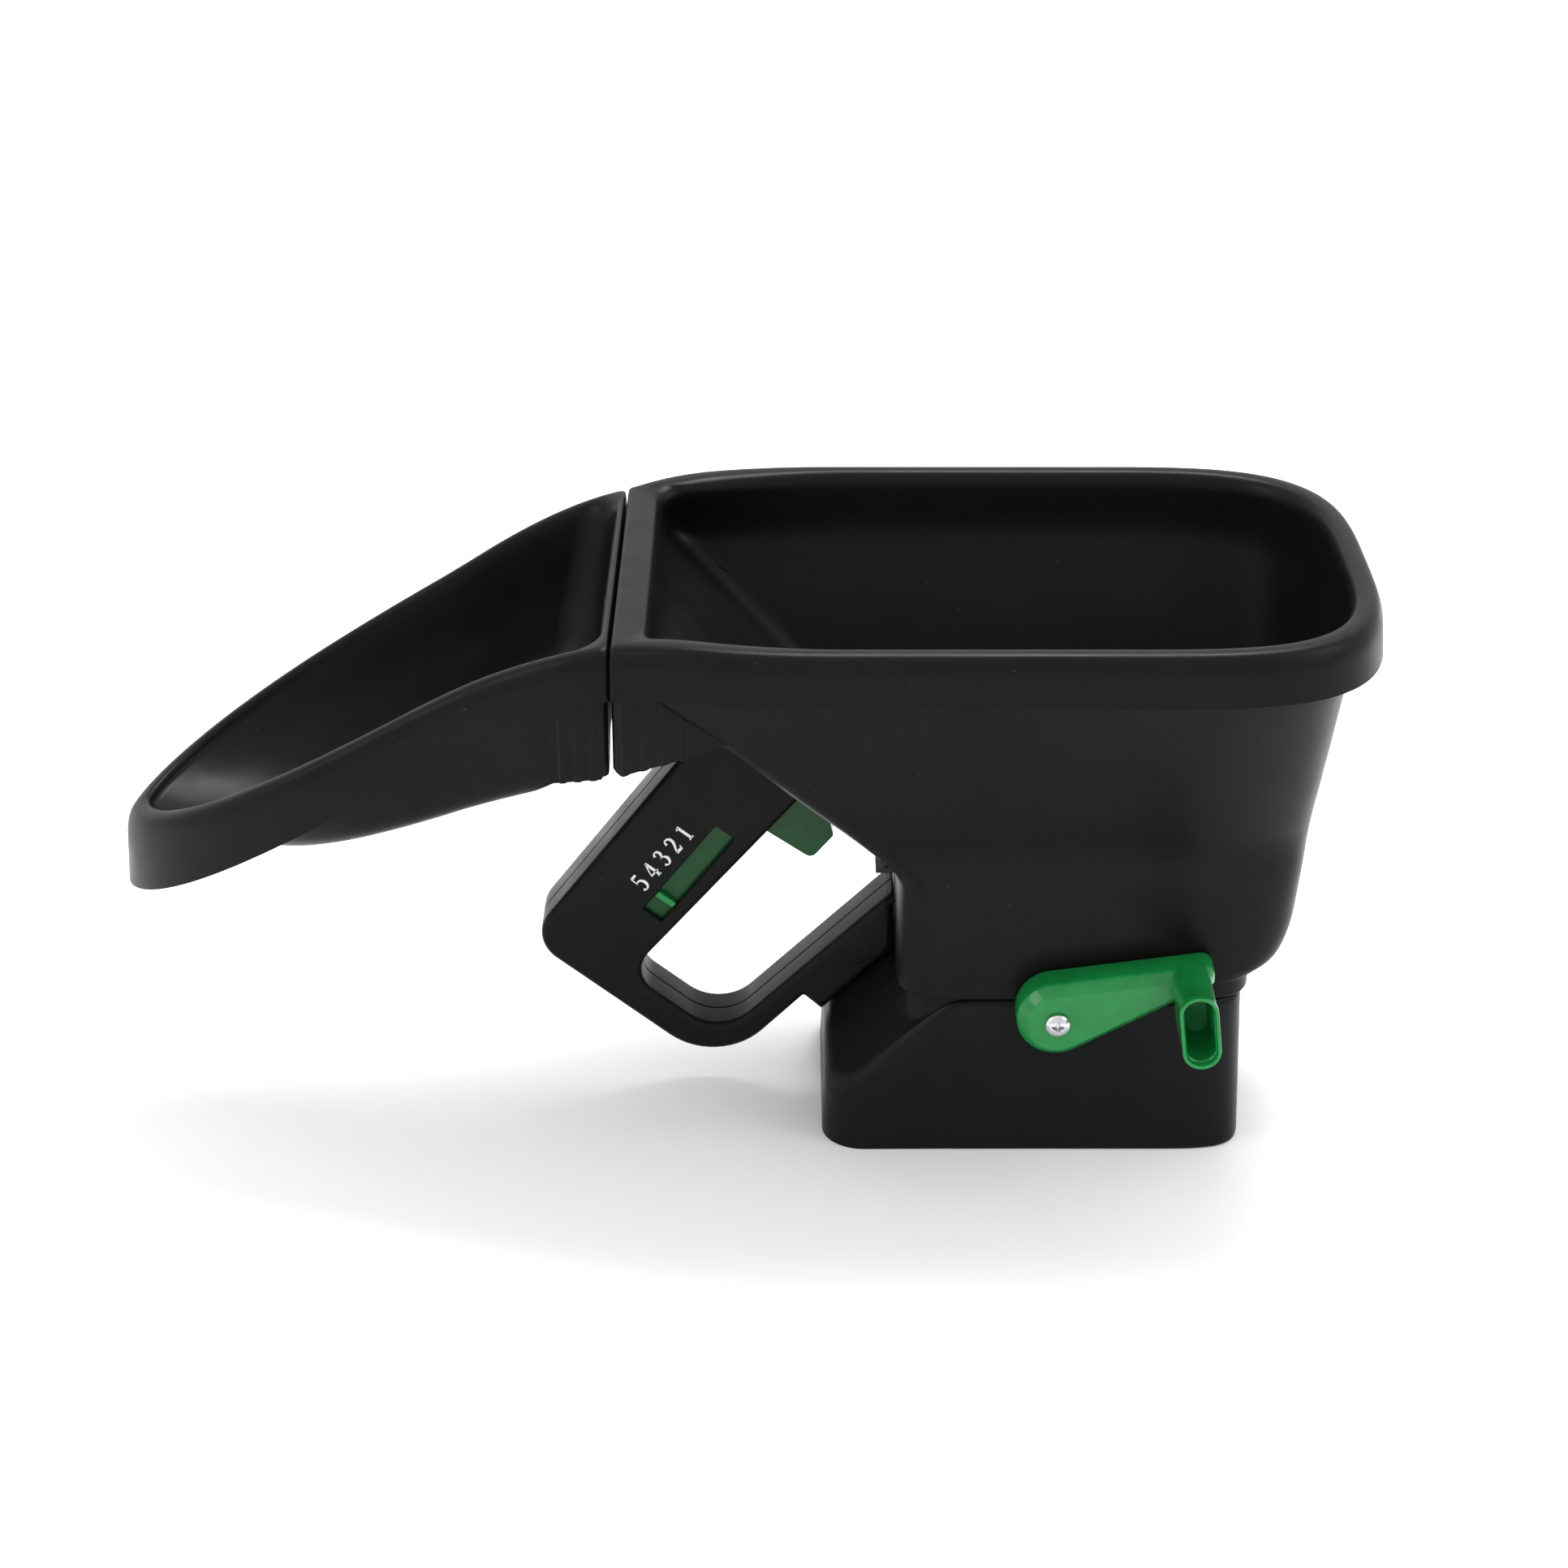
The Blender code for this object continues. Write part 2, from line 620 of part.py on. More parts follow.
def arm_fasteners():
    """The two screws and nuts that hold the arm rest against the hopper's end plate."""
    for word, (y, z) in zip(("near", "far"), ARM_SCREWS):
        pan_screw("arm_rest_screw_" + word, (ARM_RIGHT - 6.6, y, z), (1, 0, 0), 18.0, 1.9, 4.0)
        nut = cylinder("arm_rest_nut_" + word, (-44.1, y, z), (1, 0, 0), 3.2, 4.0, STEEL_BRIGHT, sides=6)
        bore(nut, (-46, y, z), (1, 0, 0), 8, 2.2, 16)


# ---------------------------------------------------------------- handle

def grip_quad(along_low, along_high, across_low, across_high, centre):
    """A rectangle laid along the grip, from distances about a centre."""
    side = Vector((GRIP.y, -GRIP.x))
    middle = Vector(centre)
    spots = [(along_low, across_high), (along_high, across_high),
             (along_high, across_low), (along_low, across_low)]
    return [tuple(middle + GRIP * a + side * b) for a, b in spots]


def handle_half(name, side):
    """One moulded half of the D handle, split on Y = 0; side is -1 for the crank side."""
    def bore_across(spot, start, length, radius, sides=16):
        bore(made, (spot[0], side * -start, spot[1]), (0, side * -1, 0), length, radius, sides)

    def peg(spot, length, radius):
        start = (spot[0], side * (plate + 1.0), spot[1])
        join(made, cylinder("peg", start, (0, -side, 0), length + 1.0, radius, sides=16))

    made = prism(name, rounded(HANDLE_CORNERS), side * HANDLE_HALF, side * GAP / 2, bevel=HANDLE_RIM)
    plate = HANDLE_HALF - HANDLE_WALL
    cut(made, prism("hollow", rounded(inset(HANDLE_CORNERS, HANDLE_WALL)), side * plate, side * -5.0))
    peg(FOOT_SCREW, plate - GAP / 2, 3.6 if side < 0 else 6.0)
    peg(TONGUE_SCREW, plate - 3.9, 3.6 if side < 0 else 6.0)
    peg(LEG_SCREW, plate - GAP / 2, 8.6 if side < 0 else 3.6)
    opening = [(4.2, 126.0), (11.0, 120.2), (37.6, 152.0), (30.6, 158.2)]
    cut(made, prism("trigger_opening", opening, -9.4, 9.4))
    cut(made, tongue("tongue_opening", 0.5))
    if side < 0:
        length, width = WINDOW_SIZE
        quad = grip_quad(-length / 2, length / 2, -width / 2, width / 2, WINDOW_CENTRE)
        cut(made, prism("window", quad, -20.0, -8.0))
        bore(made, (LEG_SCREW[0], -20, LEG_SCREW[1]), (0, 1, 0), 10.0, PLUG_RADIUS + GAP)
        bore(made, (LEG_SCREW[0], -12, LEG_SCREW[1]), (0, 1, 0), 14, 1.9, 16)
        for x, z in (FOOT_SCREW, TONGUE_SCREW):
            bore(made, (x, -9.0, z), (0, 1, 0), 14, 1.7, 12)
    else:
        bore(made, (LEG_SCREW[0], -2, LEG_SCREW[1]), (0, 1, 0), 11, 1.7, 12)
        for x, z in (FOOT_SCREW, TONGUE_SCREW):
            bore(made, (x, -2, z), (0, 1, 0), 20, 1.9, 12)
            bore(made, (x, 11.0, z), (0, 1, 0), 10, 4.4, 20)
    bore(made, (PIVOT[0], -12.6, PIVOT[1]), (0, 1, 0), 25.2, 2.0, 16)
    bore(made, SEAT_SPOT, SEAT_NORMAL, 16, 2.0, 12)
    return made


def handle_fasteners():
    """Screws through the handle, the plug over the leg screw, and the seat screw from the base."""
    pan_screw("handle_foot_screw", (FOOT_SCREW[0], 11.3, FOOT_SCREW[1]), (0, -1, 0), 18.0, 1.4, 4.0)
    pan_screw("handle_tongue_screw", (TONGUE_SCREW[0], 11.3, TONGUE_SCREW[1]), (0, -1, 0), 18.0, 1.4, 4.0)
    pan_screw("handle_leg_screw", (LEG_SCREW[0], -10.3, LEG_SCREW[1]), (0, 1, 0), 17.0, 1.4, 4.0)
    plug_face = (LEG_SCREW[0], 0.1 - HANDLE_HALF, LEG_SCREW[1])
    cylinder("handle_plug", plug_face, (0, 1, 0), 1.2, PLUG_RADIUS, sides=28)
    under = Vector(SEAT_SPOT) - Vector(SEAT_NORMAL) * 3.4
    pan_screw("seat_screw", under, SEAT_NORMAL, 16.0, 1.7, 4.0)


def setting_slider():
    """The setting strip behind the window, with the pointer ridge that shows through it."""
    middle = Vector(POINTER_AT)
    low_end, high_end = -36.0, 41.8
    strip = grip_quad(low_end, high_end, -6.0, 6.0, middle)
    made = prism("setting_slider", strip, -10.9, -9.1, GREEN_PLASTIC)
    join(made, prism("ridge", grip_quad(-1.3, 1.3, -4.6, 4.6, middle), -13.5, -10.0, GREEN_PLASTIC))
    return made


# ---------------------------------------------------------------- trigger and gate

def trigger():
    """The trigger: a lever that hangs from its pin and takes the gate rod through a slot."""
    made = prism("trigger", rounded(TRIGGER_CORNERS, 3), -TRIGGER_HALF, TRIGGER_HALF, GREEN_PLASTIC)
    bore(made, (PIVOT[0], -12, PIVOT[1]), (0, 1, 0), 24, 1.9, 16)
    x, z = ROD_EYE
    cut(made, box("rod_slot", (x - 2.5, 2.0, z - 4.8), (x + 2.5, 12.0, z + 4.8)))
    return made


def coil(name, start, end, radius, wire, turns):
    """A round-wire compression spring between two points, its turns worked out along a helix."""
    curve = bpy.data.curves.new(name, "CURVE")
    curve.dimensions = "3D"
    curve.bevel_depth = wire / 2 * MM
    curve.bevel_resolution = 1
    curve.use_fill_caps = True
    curve.materials.append(STEEL_BRIGHT)
    spline = curve.splines.new("POLY")
    count = turns * 8 + 1
    spline.points.add(count - 1)
    reach = Vector(end) - Vector(start)
    place = Matrix.Translation(Vector(start)) @ along(reach.normalized())
    for k in range(count):
        turn = 2 * math.pi * k / 8
        rise = reach.length * k / (count - 1)
        spot = place @ Vector((radius * math.cos(turn), radius * math.sin(turn), rise))
        spline.points[k].co = (*(spot * MM), 1.0)
    made = bpy.data.objects.new(name, curve)
    PARTS.objects.link(made)
    return made


def bent_rod(name, route, radius):
    """A steel rod along straight runs."""
    curve = bpy.data.curves.new(name, "CURVE")
    curve.dimensions = "3D"
    curve.bevel_depth = radius * MM
    curve.bevel_resolution = 2
    curve.use_fill_caps = True
    curve.materials.append(STEEL_BRIGHT)
    spline = curve.splines.new("POLY")
    spline.points.add(len(route) - 1)
    for point, spot in zip(spline.points, route):
        point.co = (*(Vector(spot) * MM), 1.0)
    made = bpy.data.objects.new(name, curve)
    PARTS.objects.link(made)
    return made


def gate_parts():
    """The gate plate under the outlet, its guide, the rod from the trigger, and the guide screws."""
    plate = box("gate_plate", (80.0, -20.0, 104.5), (108.0, 20.0, 106.9), GREEN_PLASTIC)
    join(plate, box("tail", (58.0, -6.0, 104.5), (81.0, 6.0, 106.9), GREEN_PLASTIC))
    bore(plate, (TAIL_EYE, 0, 100), (0, 0, 1), 12, 1.9, 16)
    x, z = ROD_EYE
    route = [(TAIL_EYE, 0, 103), (TAIL_EYE, 0, 110), (56, 6, 118), (44, 11.3, 127), (x, 11.3, z), (x, 3.4, z)]
    bent_rod("gate_rod", route, 1.5)
    guide = box("gate_guide", (74.0, -27.0, 101.4), (121.5, 27.0, 103.9), DARK_PLASTIC)
    for side in (-1, 1):
        low, high = sorted((side * 20.6, side * 27.0))
        join(guide, box("rail", (74.0, low, 103.4), (121.5, high, 107.1), DARK_PLASTIC))
    cut(guide, box("guide_port", (80.0, -17.0, 100.0), (110.0, 17.0, 105.0)))
    for word, (sx, sy) in zip(("near", "far"), GUIDE_SCREWS):
        bore(guide, (sx, sy, 100), (0, 0, 1), 10, 1.5, 12)
        pan_screw("guide_screw_" + word, (sx, sy, 101.0), (0, 0, 1), 10.0, 1.2, 2.9, 1.6)


# ---------------------------------------------------------------- base

def base_block(name, shrink, low, high):
    """The base's outer shape, or its hollow when shrunk: a block under a slanted seat and two roof slopes."""
    outlines = []
    for z, flare in ((low, 0.0), (high, 1.0)):
        inset_by = shrink + 2.4 * flare * (high - low) / 72.0
        outlines.append(lifted(hopper_outline(BASE_LEFT - 0.4 + shrink + flare, BASE_RIGHT + 0.4 - inset_by,
                                              BASE_HALF + 0.4 - shrink - 0.8 * flare, 17.6 - shrink, 7.0), z))
    made = loft(name, outlines, BLACK_PLASTIC, closed=False)
    work = bmesh.new()
    work.from_mesh(made.data)
    bmesh.ops.holes_fill(work, edges=work.edges)
    bmesh.ops.recalc_face_normals(work, faces=work.faces)
    work.to_mesh(made.data)
    work.free()
    lower = SEAT_RISE - shrink * math.sqrt(2)
    cut(made, half_block((-10, -99, -20), (66.0 + shrink, 99, 130), (0, 0, lower), (-1, 0, 1)))
    for side in (-1, 1):
        normal = (-1, side * ROOF_FALL, 1)
        reach = sorted((side * 10.0, side * 99.0))
        spot = (0, side * SEAT_FLAT, lower)
        cut(made, half_block((-10, reach[0], -20), (77.0 + shrink, reach[1], 130), spot, normal))
    return made


def base_housing():
    """The base: a hollow shroud open below, a lip that plugs into the neck, and the discharge window."""
    made = base_block("base_housing", 0.0, 0.0, BASE_TOP)
    margin = NECK_WALL + GAP
    lip_half = NECK_HALF - margin
    lip = hopper_outline(NECK_LEFT + margin, NECK_RIGHT - margin, lip_half, 15.2, 7.0)
    join(made, loft_block("lip", [lifted(lip, 70.5), lifted(lip, LIP_TOP)]))
    cut(made, base_block("base_hollow", BASE_WALL, -6.0, BASE_TOP - BASE_WALL))
    margin += LIP_WALL
    opening = hopper_outline(NECK_LEFT + margin, NECK_RIGHT - margin, NECK_HALF - margin, 13.0, 7.0)
    cut(made, loft_block("top_opening", [lifted(opening, 60.0), lifted(opening, 90.0)]))
    for x, y in BASE_SCREWS:
        step = math.copysign(1, y)
        across = sorted((y - 4.6 * step, step * (lip_half - 1.6)))
        join(made, box("lug", (x - 4.4, across[0], 76.4), (x + 4.4, across[1], LIP_TOP - 0.2)))
        bore(made, (x, y, 70.0), (0, 0, 1), 20, 2.0, 12)
    for x, y in BRACKET_SCREWS:
        step = math.copysign(1, y)
        across = sorted((y - 4.0 * step, step * (BASE_HALF - 1.2)))
        join(made, box("shelf", (x - 12, across[0], 25.5), (x + 12, across[1], 29.6)))
        bore(made, (x, y, 24.0), (0, 0, 1), 10, 1.4, 12)
    sill, head = WINDOW_SILL
    cut(made, box("discharge", (197.0, -WINDOW_HALF, sill), (222.0, WINDOW_HALF, head), bevel=2.0))
    bore(made, (AXIS_X, -45, CRANK_Z), (0, -1, 0), 20, 7.3)
    bore(made, Vector(SEAT_SPOT) - Vector(SEAT_NORMAL) * 8, SEAT_NORMAL, 16, 2.0, 12)
    return made


def loft_block(name, loops):
    """A closed block between two equal loops."""
    made = loft(name, loops, BLACK_PLASTIC, closed=False)
    work = bmesh.new()
    work.from_mesh(made.data)
    bmesh.ops.holes_fill(work, edges=work.edges)
    bmesh.ops.recalc_face_normals(work, faces=work.faces)
    work.to_mesh(made.data)
    work.free()
    return made


def base_fasteners():
    """The four screws that hold the base to the posts under the hopper floor."""
    for k, (x, y) in enumerate(BASE_SCREWS):
        pan_screw("base_screw_%d" % (k + 1), (x, y, 76.1), (0, 0, 1), 16.0, 1.4, 3.6)


# ---------------------------------------------------------------- drive

def gear_bracket():
    """The bracket over the spinner: a bridge with the lower bearing and an upright for the crank shaft."""
    made = box("gear_bracket", (AXIS_X - 12, -52.4, 30.0), (AXIS_X + 12, 52.4, 33.2), DARK_PLASTIC)
    join(made, box("upright", (AXIS_X - 12, -24.0, 32.0), (AXIS_X + 12, -20.8, 82.0), DARK_PLASTIC))
    join(made, cylinder("bearing", (AXIS_X, 0, 26.5), (0, 0, 1), 14.0, 7.0, DARK_PLASTIC))
    bore(made, (AXIS_X, 0, 20), (0, 0, 1), 30, SHAFT_RADIUS + GAP)
    bore(made, (AXIS_X, -30, CRANK_Z), (0, 1, 0), 16, CRANK_SHAFT_RADIUS + GAP)
    for word, (x, y) in zip(("near", "far"), BRACKET_SCREWS):
        bore(made, (x, y, 28.0), (0, 0, 1), 8, 1.8, 12)
        pan_screw("bracket_screw_" + word, (x, y, 33.5), (0, 0, -1), 7.6, 1.1, 3.0, 1.8)
    return made


def crown_gear():
    """The face gear on the crank shaft: a ring of trapezoid teeth, a web and a hub."""
    pitch = 2 * math.pi / CROWN_TEETH
    root, tip = -CROWN_ROOT, -CROWN_TIP

    def ring(radius, heights):
        loop = []
        for k in range(CROWN_TEETH):
            for part, y in zip((-0.25, -0.16, 0.16, 0.25), heights):
                turn = pitch * (k + 0.5 + part) - math.pi / 2
                loop.append((AXIS_X + radius * math.cos(turn), y, CRANK_Z + radius * math.sin(turn)))
        return loop

    toothed = (root, tip, tip, root)
    flat = (-13.0,) * 4
    loops = [ring(17.2, toothed), ring(23.2, toothed), ring(23.2, flat), ring(17.2, flat)]
    made = loft("crown_gear", loops, GEAR_PLASTIC, closed=True)
    join(made, cylinder("web", (AXIS_X, -13.0, CRANK_Z), (0, 1, 0), 3.0, 18.0, GEAR_PLASTIC, 30))
    join(made, cylinder("hub", (AXIS_X, -20.3, CRANK_Z), (0, 1, 0), 9.0, 7.5, GEAR_PLASTIC))
    bore(made, (AXIS_X, -25, CRANK_Z), (0, 1, 0), 20, CRANK_SHAFT_RADIUS + GAP)
    return made


def pinion():
    """The pinion on the upright shaft, in mesh with the crown's lowest teeth."""
    pitch = 2 * math.pi / PINION_TEETH
    outline = []
    for k in range(PINION_TEETH):
        for part, radius in ((-0.2, 5.0), (-0.085, 7.9), (0.085, 7.9), (0.2, 5.0)):
            turn = pitch * (k + part) - math.pi / 2
            outline.append((AXIS_X + radius * math.cos(turn), radius * math.sin(turn)))
    low, high = CRANK_Z - CROWN_RADIUS - 4.5, CRANK_Z - CROWN_RADIUS + 4.5
    made = loft_block("pinion", [lifted(outline, low), lifted(outline, high)])
    made.data.materials.clear()
    made.data.materials.append(GEAR_PLASTIC)
    join(made, cylinder("pinion_hub", (AXIS_X, 0, low - 4.5), (0, 0, 1), 5.5, 6.0, GEAR_PLASTIC))
    bore(made, (AXIS_X, 0, 30), (0, 0, 1), 40, SHAFT_RADIUS + GAP)
    return made


def spinner():
    """The spinner disc with its throwing vanes, its screw, the upright shaft and the agitator."""
    made = cylinder("spinner_disc", (AXIS_X, 0, 10.5), (0, 0, 1), 2.2, SPINNER_RADIUS, GREEN_PLASTIC, 48)
    join(made, cylinder("spinner_hub", (AXIS_X, 0, 9.0), (0, 0, 1), 16.0, 8.0, GREEN_PLASTIC))
    for k in range(VANES):
        vane = box("vane", (7.0, -1.1, 12.0), (SPINNER_RADIUS - 1.0, 1.1, 22.0), GREEN_PLASTIC)
        turn = Matrix.Rotation(2 * math.pi * (k + 0.5) / VANES, 4, "Z")
        vane.data.transform(Matrix.Translation((AXIS_X * MM, 0, 0)) @ turn)
        join(made, vane)
    bore(made, (AXIS_X, 0, 0), (0, 0, 1), 30, SHAFT_RADIUS + GAP)
    shaft = cylinder("spinner_shaft", (AXIS_X, 0, 9.2), (0, 0, 1), 116.0, SHAFT_RADIUS, STEEL_BRIGHT)
    bore(shaft, (AXIS_X, 0, 5), (0, 0, 1), 15, 1.7, 12)
    pan_screw("spinner_screw", (AXIS_X, 0, 8.7), (0, 0, 1), 9.0, 1.4, 4.6)
    agitator = cylinder("agitator", (AXIS_X, 0, 114.6), (0, 0, 1), 8.0, 6.0, GREEN_PLASTIC)
    for side in (-1, 1):
        root = (AXIS_X + 5 * side, 0, 118.0)
        join(agitator, cylinder("finger", root, (side, 0, 0.25), 15.0, 1.8, GREEN_PLASTIC, 10, 1.2))
    bore(agitator, (AXIS_X, 0, 110), (0, 0, 1), 20, SHAFT_RADIUS + GAP)
    collar("shaft_bush", (AXIS_X, 0, 105.4), (0, 0, 1), 8.4, 5.4, SHAFT_RADIUS + GAP, BRASS_BUSH, 7.5, 1.8)


def stadium(centre, width, height, tilt, steps=8):
    """A slot-shaped outline standing upright, turned by a tilt."""
    radius = width / 2
    outline = []
    for end, first in ((1, 0.0), (-1, math.pi)):
        for k in range(steps + 1):
            turn = first + math.pi * k / steps
            x, z = radius * math.cos(turn), end * (height / 2 - radius) + radius * math.sin(turn)
            outline.append((centre[0] + x * math.cos(tilt) - z * math.sin(tilt),
                            centre[1] + x * math.sin(tilt) + z * math.cos(tilt)))
    return outline


def crank():
    """The crank moulding: a hollow-backed arm with a hub, and a hollow paddle knob."""
    made = prism("crank", rounded(CRANK_CORNERS, 8), HUB_FRONT, HUB_BACK, GREEN_PLASTIC, bevel=1.5)
    cut(made, prism("arm_hollow", rounded(inset(CRANK_CORNERS, 5.0), 6), HUB_FRONT + 3.0, -50.0))
    join(made, cylinder("crank_hub", (AXIS_X, HUB_FRONT + 2.0, CRANK_Z), (0, 1, 0), 14.0, 8.5, GREEN_PLASTIC))
    width, height = KNOB_SIZE
    join(made, prism("knob", stadium(KNOB_CENTRE, width, height, KNOB_TILT), KNOB_MOUTH, HUB_FRONT + 3.0,
                     GREEN_PLASTIC))
    cut(made, prism("knob_hollow", stadium(KNOB_CENTRE, width - 3.6, height - 3.6, KNOB_TILT), KNOB_MOUTH - 5,
                    HUB_FRONT - 1.0))
    bore(made, (AXIS_X, -71.8, CRANK_Z), (0, 1, 0), 20, CRANK_SHAFT_RADIUS + GAP)
    bore(made, (AXIS_X, -80.0, CRANK_Z), (0, 1, 0), 20, 2.0, 16)
    return made


def crank_shaft():
    """The crank shaft, its bush in the wall and the screw that holds the crank on."""
    front = (AXIS_X, -71.5, CRANK_Z)
    shaft = cylinder("crank_shaft", front, (0, 1, 0), 61.7, CRANK_SHAFT_RADIUS, STEEL_BRIGHT)
    bore(shaft, (AXIS_X, -75.0, CRANK_Z), (0, 1, 0), 17.5, 2.0, 12)
    wall = (AXIS_X, -58.2, CRANK_Z)
    collar("crank_bush", wall, (0, 1, 0), 7.0, 7.0, CRANK_SHAFT_RADIUS + GAP, BRASS_BUSH, 9.0, 0.8)
    pan_screw("crank_screw", (AXIS_X, HUB_FRONT - GAP, CRANK_Z), (0, 1, 0), 14.0, 1.7, 5.0, 3.0)


def trigger_parts():
    """The trigger's pin and return spring."""
    cylinder("trigger_pin", (PIVOT[0], -12.2, PIVOT[1]), (0, 1, 0), 24.4, 1.6, STEEL_BRIGHT, 16)
    coil("trigger_spring", (-28.0, 1.5, 146.5), (7.6, 1.5, 141.2), 3.6, 1.0, 7)


def build():
    """Make every sub-part."""
    hopper()
    arm_rest()
    arm_fasteners()
    handle_half("handle_near", -1)
    handle_half("handle_far", 1)
    handle_fasteners()
    setting_slider()
    trigger()
    trigger_parts()
    gate_parts()
    base_housing()
    base_fasteners()
    gear_bracket()
    crown_gear()
    pinion()
    spinner()
    crank()
    crank_shaft()


build()
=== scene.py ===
"""Looks of the hand-held broadcast spreader.

Shapes are written in millimetres in the part's own frame: +X to the hopper's round end, +Y away
from the crank, +Z up, the base on Z = 0.  Each shape is a grid of points worked out whole, ring by
ring, and MM turns it into metres when the mesh is made.
"""
import json
import math

import bmesh
import bpy
import numpy as np
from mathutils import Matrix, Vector
from mathutils.geometry import delaunay_2d_cdt


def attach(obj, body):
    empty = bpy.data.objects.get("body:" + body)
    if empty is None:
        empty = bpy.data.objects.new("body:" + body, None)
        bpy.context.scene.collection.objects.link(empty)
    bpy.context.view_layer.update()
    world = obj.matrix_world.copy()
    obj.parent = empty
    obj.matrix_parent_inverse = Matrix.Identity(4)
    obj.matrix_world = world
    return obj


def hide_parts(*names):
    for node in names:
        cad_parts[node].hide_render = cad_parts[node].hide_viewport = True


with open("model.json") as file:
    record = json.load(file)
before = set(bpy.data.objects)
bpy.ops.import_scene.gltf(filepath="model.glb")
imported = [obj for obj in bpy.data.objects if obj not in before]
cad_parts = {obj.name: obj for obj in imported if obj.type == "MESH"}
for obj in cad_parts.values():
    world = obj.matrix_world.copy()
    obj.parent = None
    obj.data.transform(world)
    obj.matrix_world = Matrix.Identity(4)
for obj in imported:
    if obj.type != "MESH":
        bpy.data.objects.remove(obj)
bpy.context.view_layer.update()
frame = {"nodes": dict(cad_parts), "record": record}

MM = 0.001

# Hopper
RIM_TOP = 247.0
RIM_RIGHT = 256.5
RIM_HALF = 103.5
JOINT_X = -47.0
JOINT_HALF = 88.0
SKIRT = 21.0
CAP_CENTRE = 150.0
RIM_TAPER = 82.0
BEND_START, BEND_RADIUS, BEND_SLOPE = -10.0, 170.0, 0.585
FLOOR_TOP, FLOOR_UNDER = 110.0, 107.5
NECK_LEFT, NECK_RIGHT, NECK_HALF = 66.0, 212.4, 57.0
NECK_BOTTOM, NECK_WALL = 72.4, 2.5
PORT_CENTRE, PORT_REACH, PORT_HALF = 95.0, 11.0, 16.0
LUG_CORNERS = [(-6.0, 180.3), (10.0, 164.3), (19.0, 173.3), (3.0, 189.3)]
BASE_SCREWS = [(x, y) for x in (86.0, 188.0) for y in (-42.0, 42.0)]

# Arm rest
ARM_RIGHT, ARM_TIP, ARM_HALF, ARM_WALL = -47.5, -256.5, 87.5, 2.2

# Base
BASE_LEFT, BASE_RIGHT, BASE_HALF, BASE_CORNER = 35.6, 212.4, 57.0, 17.6
BASE_WALL, BASE_TOP, LIP_TOP = 2.8, 72.0, 80.0
SEAT_RISE, SEAT_FLAT, ROOF_FALL = 6.3, 16.0, 0.57
WINDOW_SILL, WINDOW_HEAD, WINDOW_HALF = 5.0, 33.0, 38.0

# Handle
HANDLE_HALF, HANDLE_WALL, HANDLE_ROUND = 14.0, 2.6, 3.0
HANDLE_CORNERS = [
    (-0.42, 190.82, 0.8), (-88.7, 76.5, 15), (-8.7, 12.7, 30), (27.8, 49.2, 0.8), (35.5, 42.3, 0.8),
    (65.5, 72.2, 0.8), (65.5, 99.7, 0.8), (-7.65, 29.05, 20), (-46.1, 59.7, 12), (36.1, 154.3, 0.8),
]
GRIP_ANGLE = math.radians(51.8)
GRIP = np.array([math.cos(GRIP_ANGLE), math.sin(GRIP_ANGLE)])
ACROSS = np.array([GRIP[1], -GRIP[0]])
WINDOW_CENTRE = np.array([-20.3, 108.0])
WINDOW_LONG, WINDOW_WIDE = 50.0, 10.0
POINTER_AT = np.array([-30.1, 95.8])
NUMERAL_FIRST = np.array([-40.5, 104.1])
NUMERAL_PITCH, NUMERAL_HEIGHT, NUMERAL_WEIGHT = 7.5, 8.0, 1.3
FOOT_SCREW, TONGUE_SCREW, LEG_SCREW = (-62.0, 66.0), (5.0, 175.0), (50.0, 72.0)

# Crank
AXIS_X, CRANK_Z = 130.5, 71.5
HUB_BACK, HUB_FRONT, KNOB_MOUTH = -58.6, -74.6, -101.0
CRANK_CORNERS = [(114.0, 43.5, 16.4), (194.0, 87.9, 2.0), (194.0, 97.1, 5.0), (114.0, 85.86, 16.4)]
KNOB_CENTRE, KNOB_SIZE, KNOB_TILT = (185.0, 82.6), (15.2, 32.4), math.radians(7.0)


# ---------------------------------------------------------------- materials

def shader_of(name):
    """A material with a Principled shader; returns the material, its nodes, links and shader."""
    made = bpy.data.materials.new(name)
    made.use_nodes = True
    nodes, links = made.node_tree.nodes, made.node_tree.links
    return made, nodes, links, nodes["Principled BSDF"]


def noise(nodes, links, scale, detail, distortion=0.0):
    """Noise over the object's own coordinates."""
    where = nodes.new("ShaderNodeTexCoord")
    texture = nodes.new("ShaderNodeTexNoise")
    texture.inputs["Scale"].default_value = scale
    texture.inputs["Detail"].default_value = detail
    texture.inputs["Distortion"].default_value = distortion
    links.new(where.outputs["Object"], texture.inputs["Vector"])
    return texture.outputs["Fac"]


def ramp(nodes, links, source, stops):
    """Colour ramp over a value: stops are (position, colour)."""
    made = nodes.new("ShaderNodeValToRGB")
    while len(made.color_ramp.elements) < len(stops):
        made.color_ramp.elements.new(0.5)
    for element, (position, colour) in zip(made.color_ramp.elements, stops):
        element.position = position
        element.color = (*colour, 1.0)
    links.new(source, made.inputs["Fac"])
    return made.outputs["Color"]


def spread(nodes, links, source, low, high, first=0.0, last=1.0):
    """Map a value linearly from low..high to first..last."""
    made = nodes.new("ShaderNodeMapRange")
    for word, value in (("From Min", low), ("From Max", high), ("To Min", first), ("To Max", last)):
        made.inputs[word].default_value = value
    links.new(source, made.inputs["Value"])
    return made.outputs["Result"]


def added(nodes, links, first, second, weight):
    """first + weight * second."""
    made = nodes.new("ShaderNodeMath")
    made.operation = "MULTIPLY_ADD"
    links.new(second, made.inputs[0])
    made.inputs[1].default_value = weight
    links.new(first, made.inputs[2])
    return made.outputs[0]


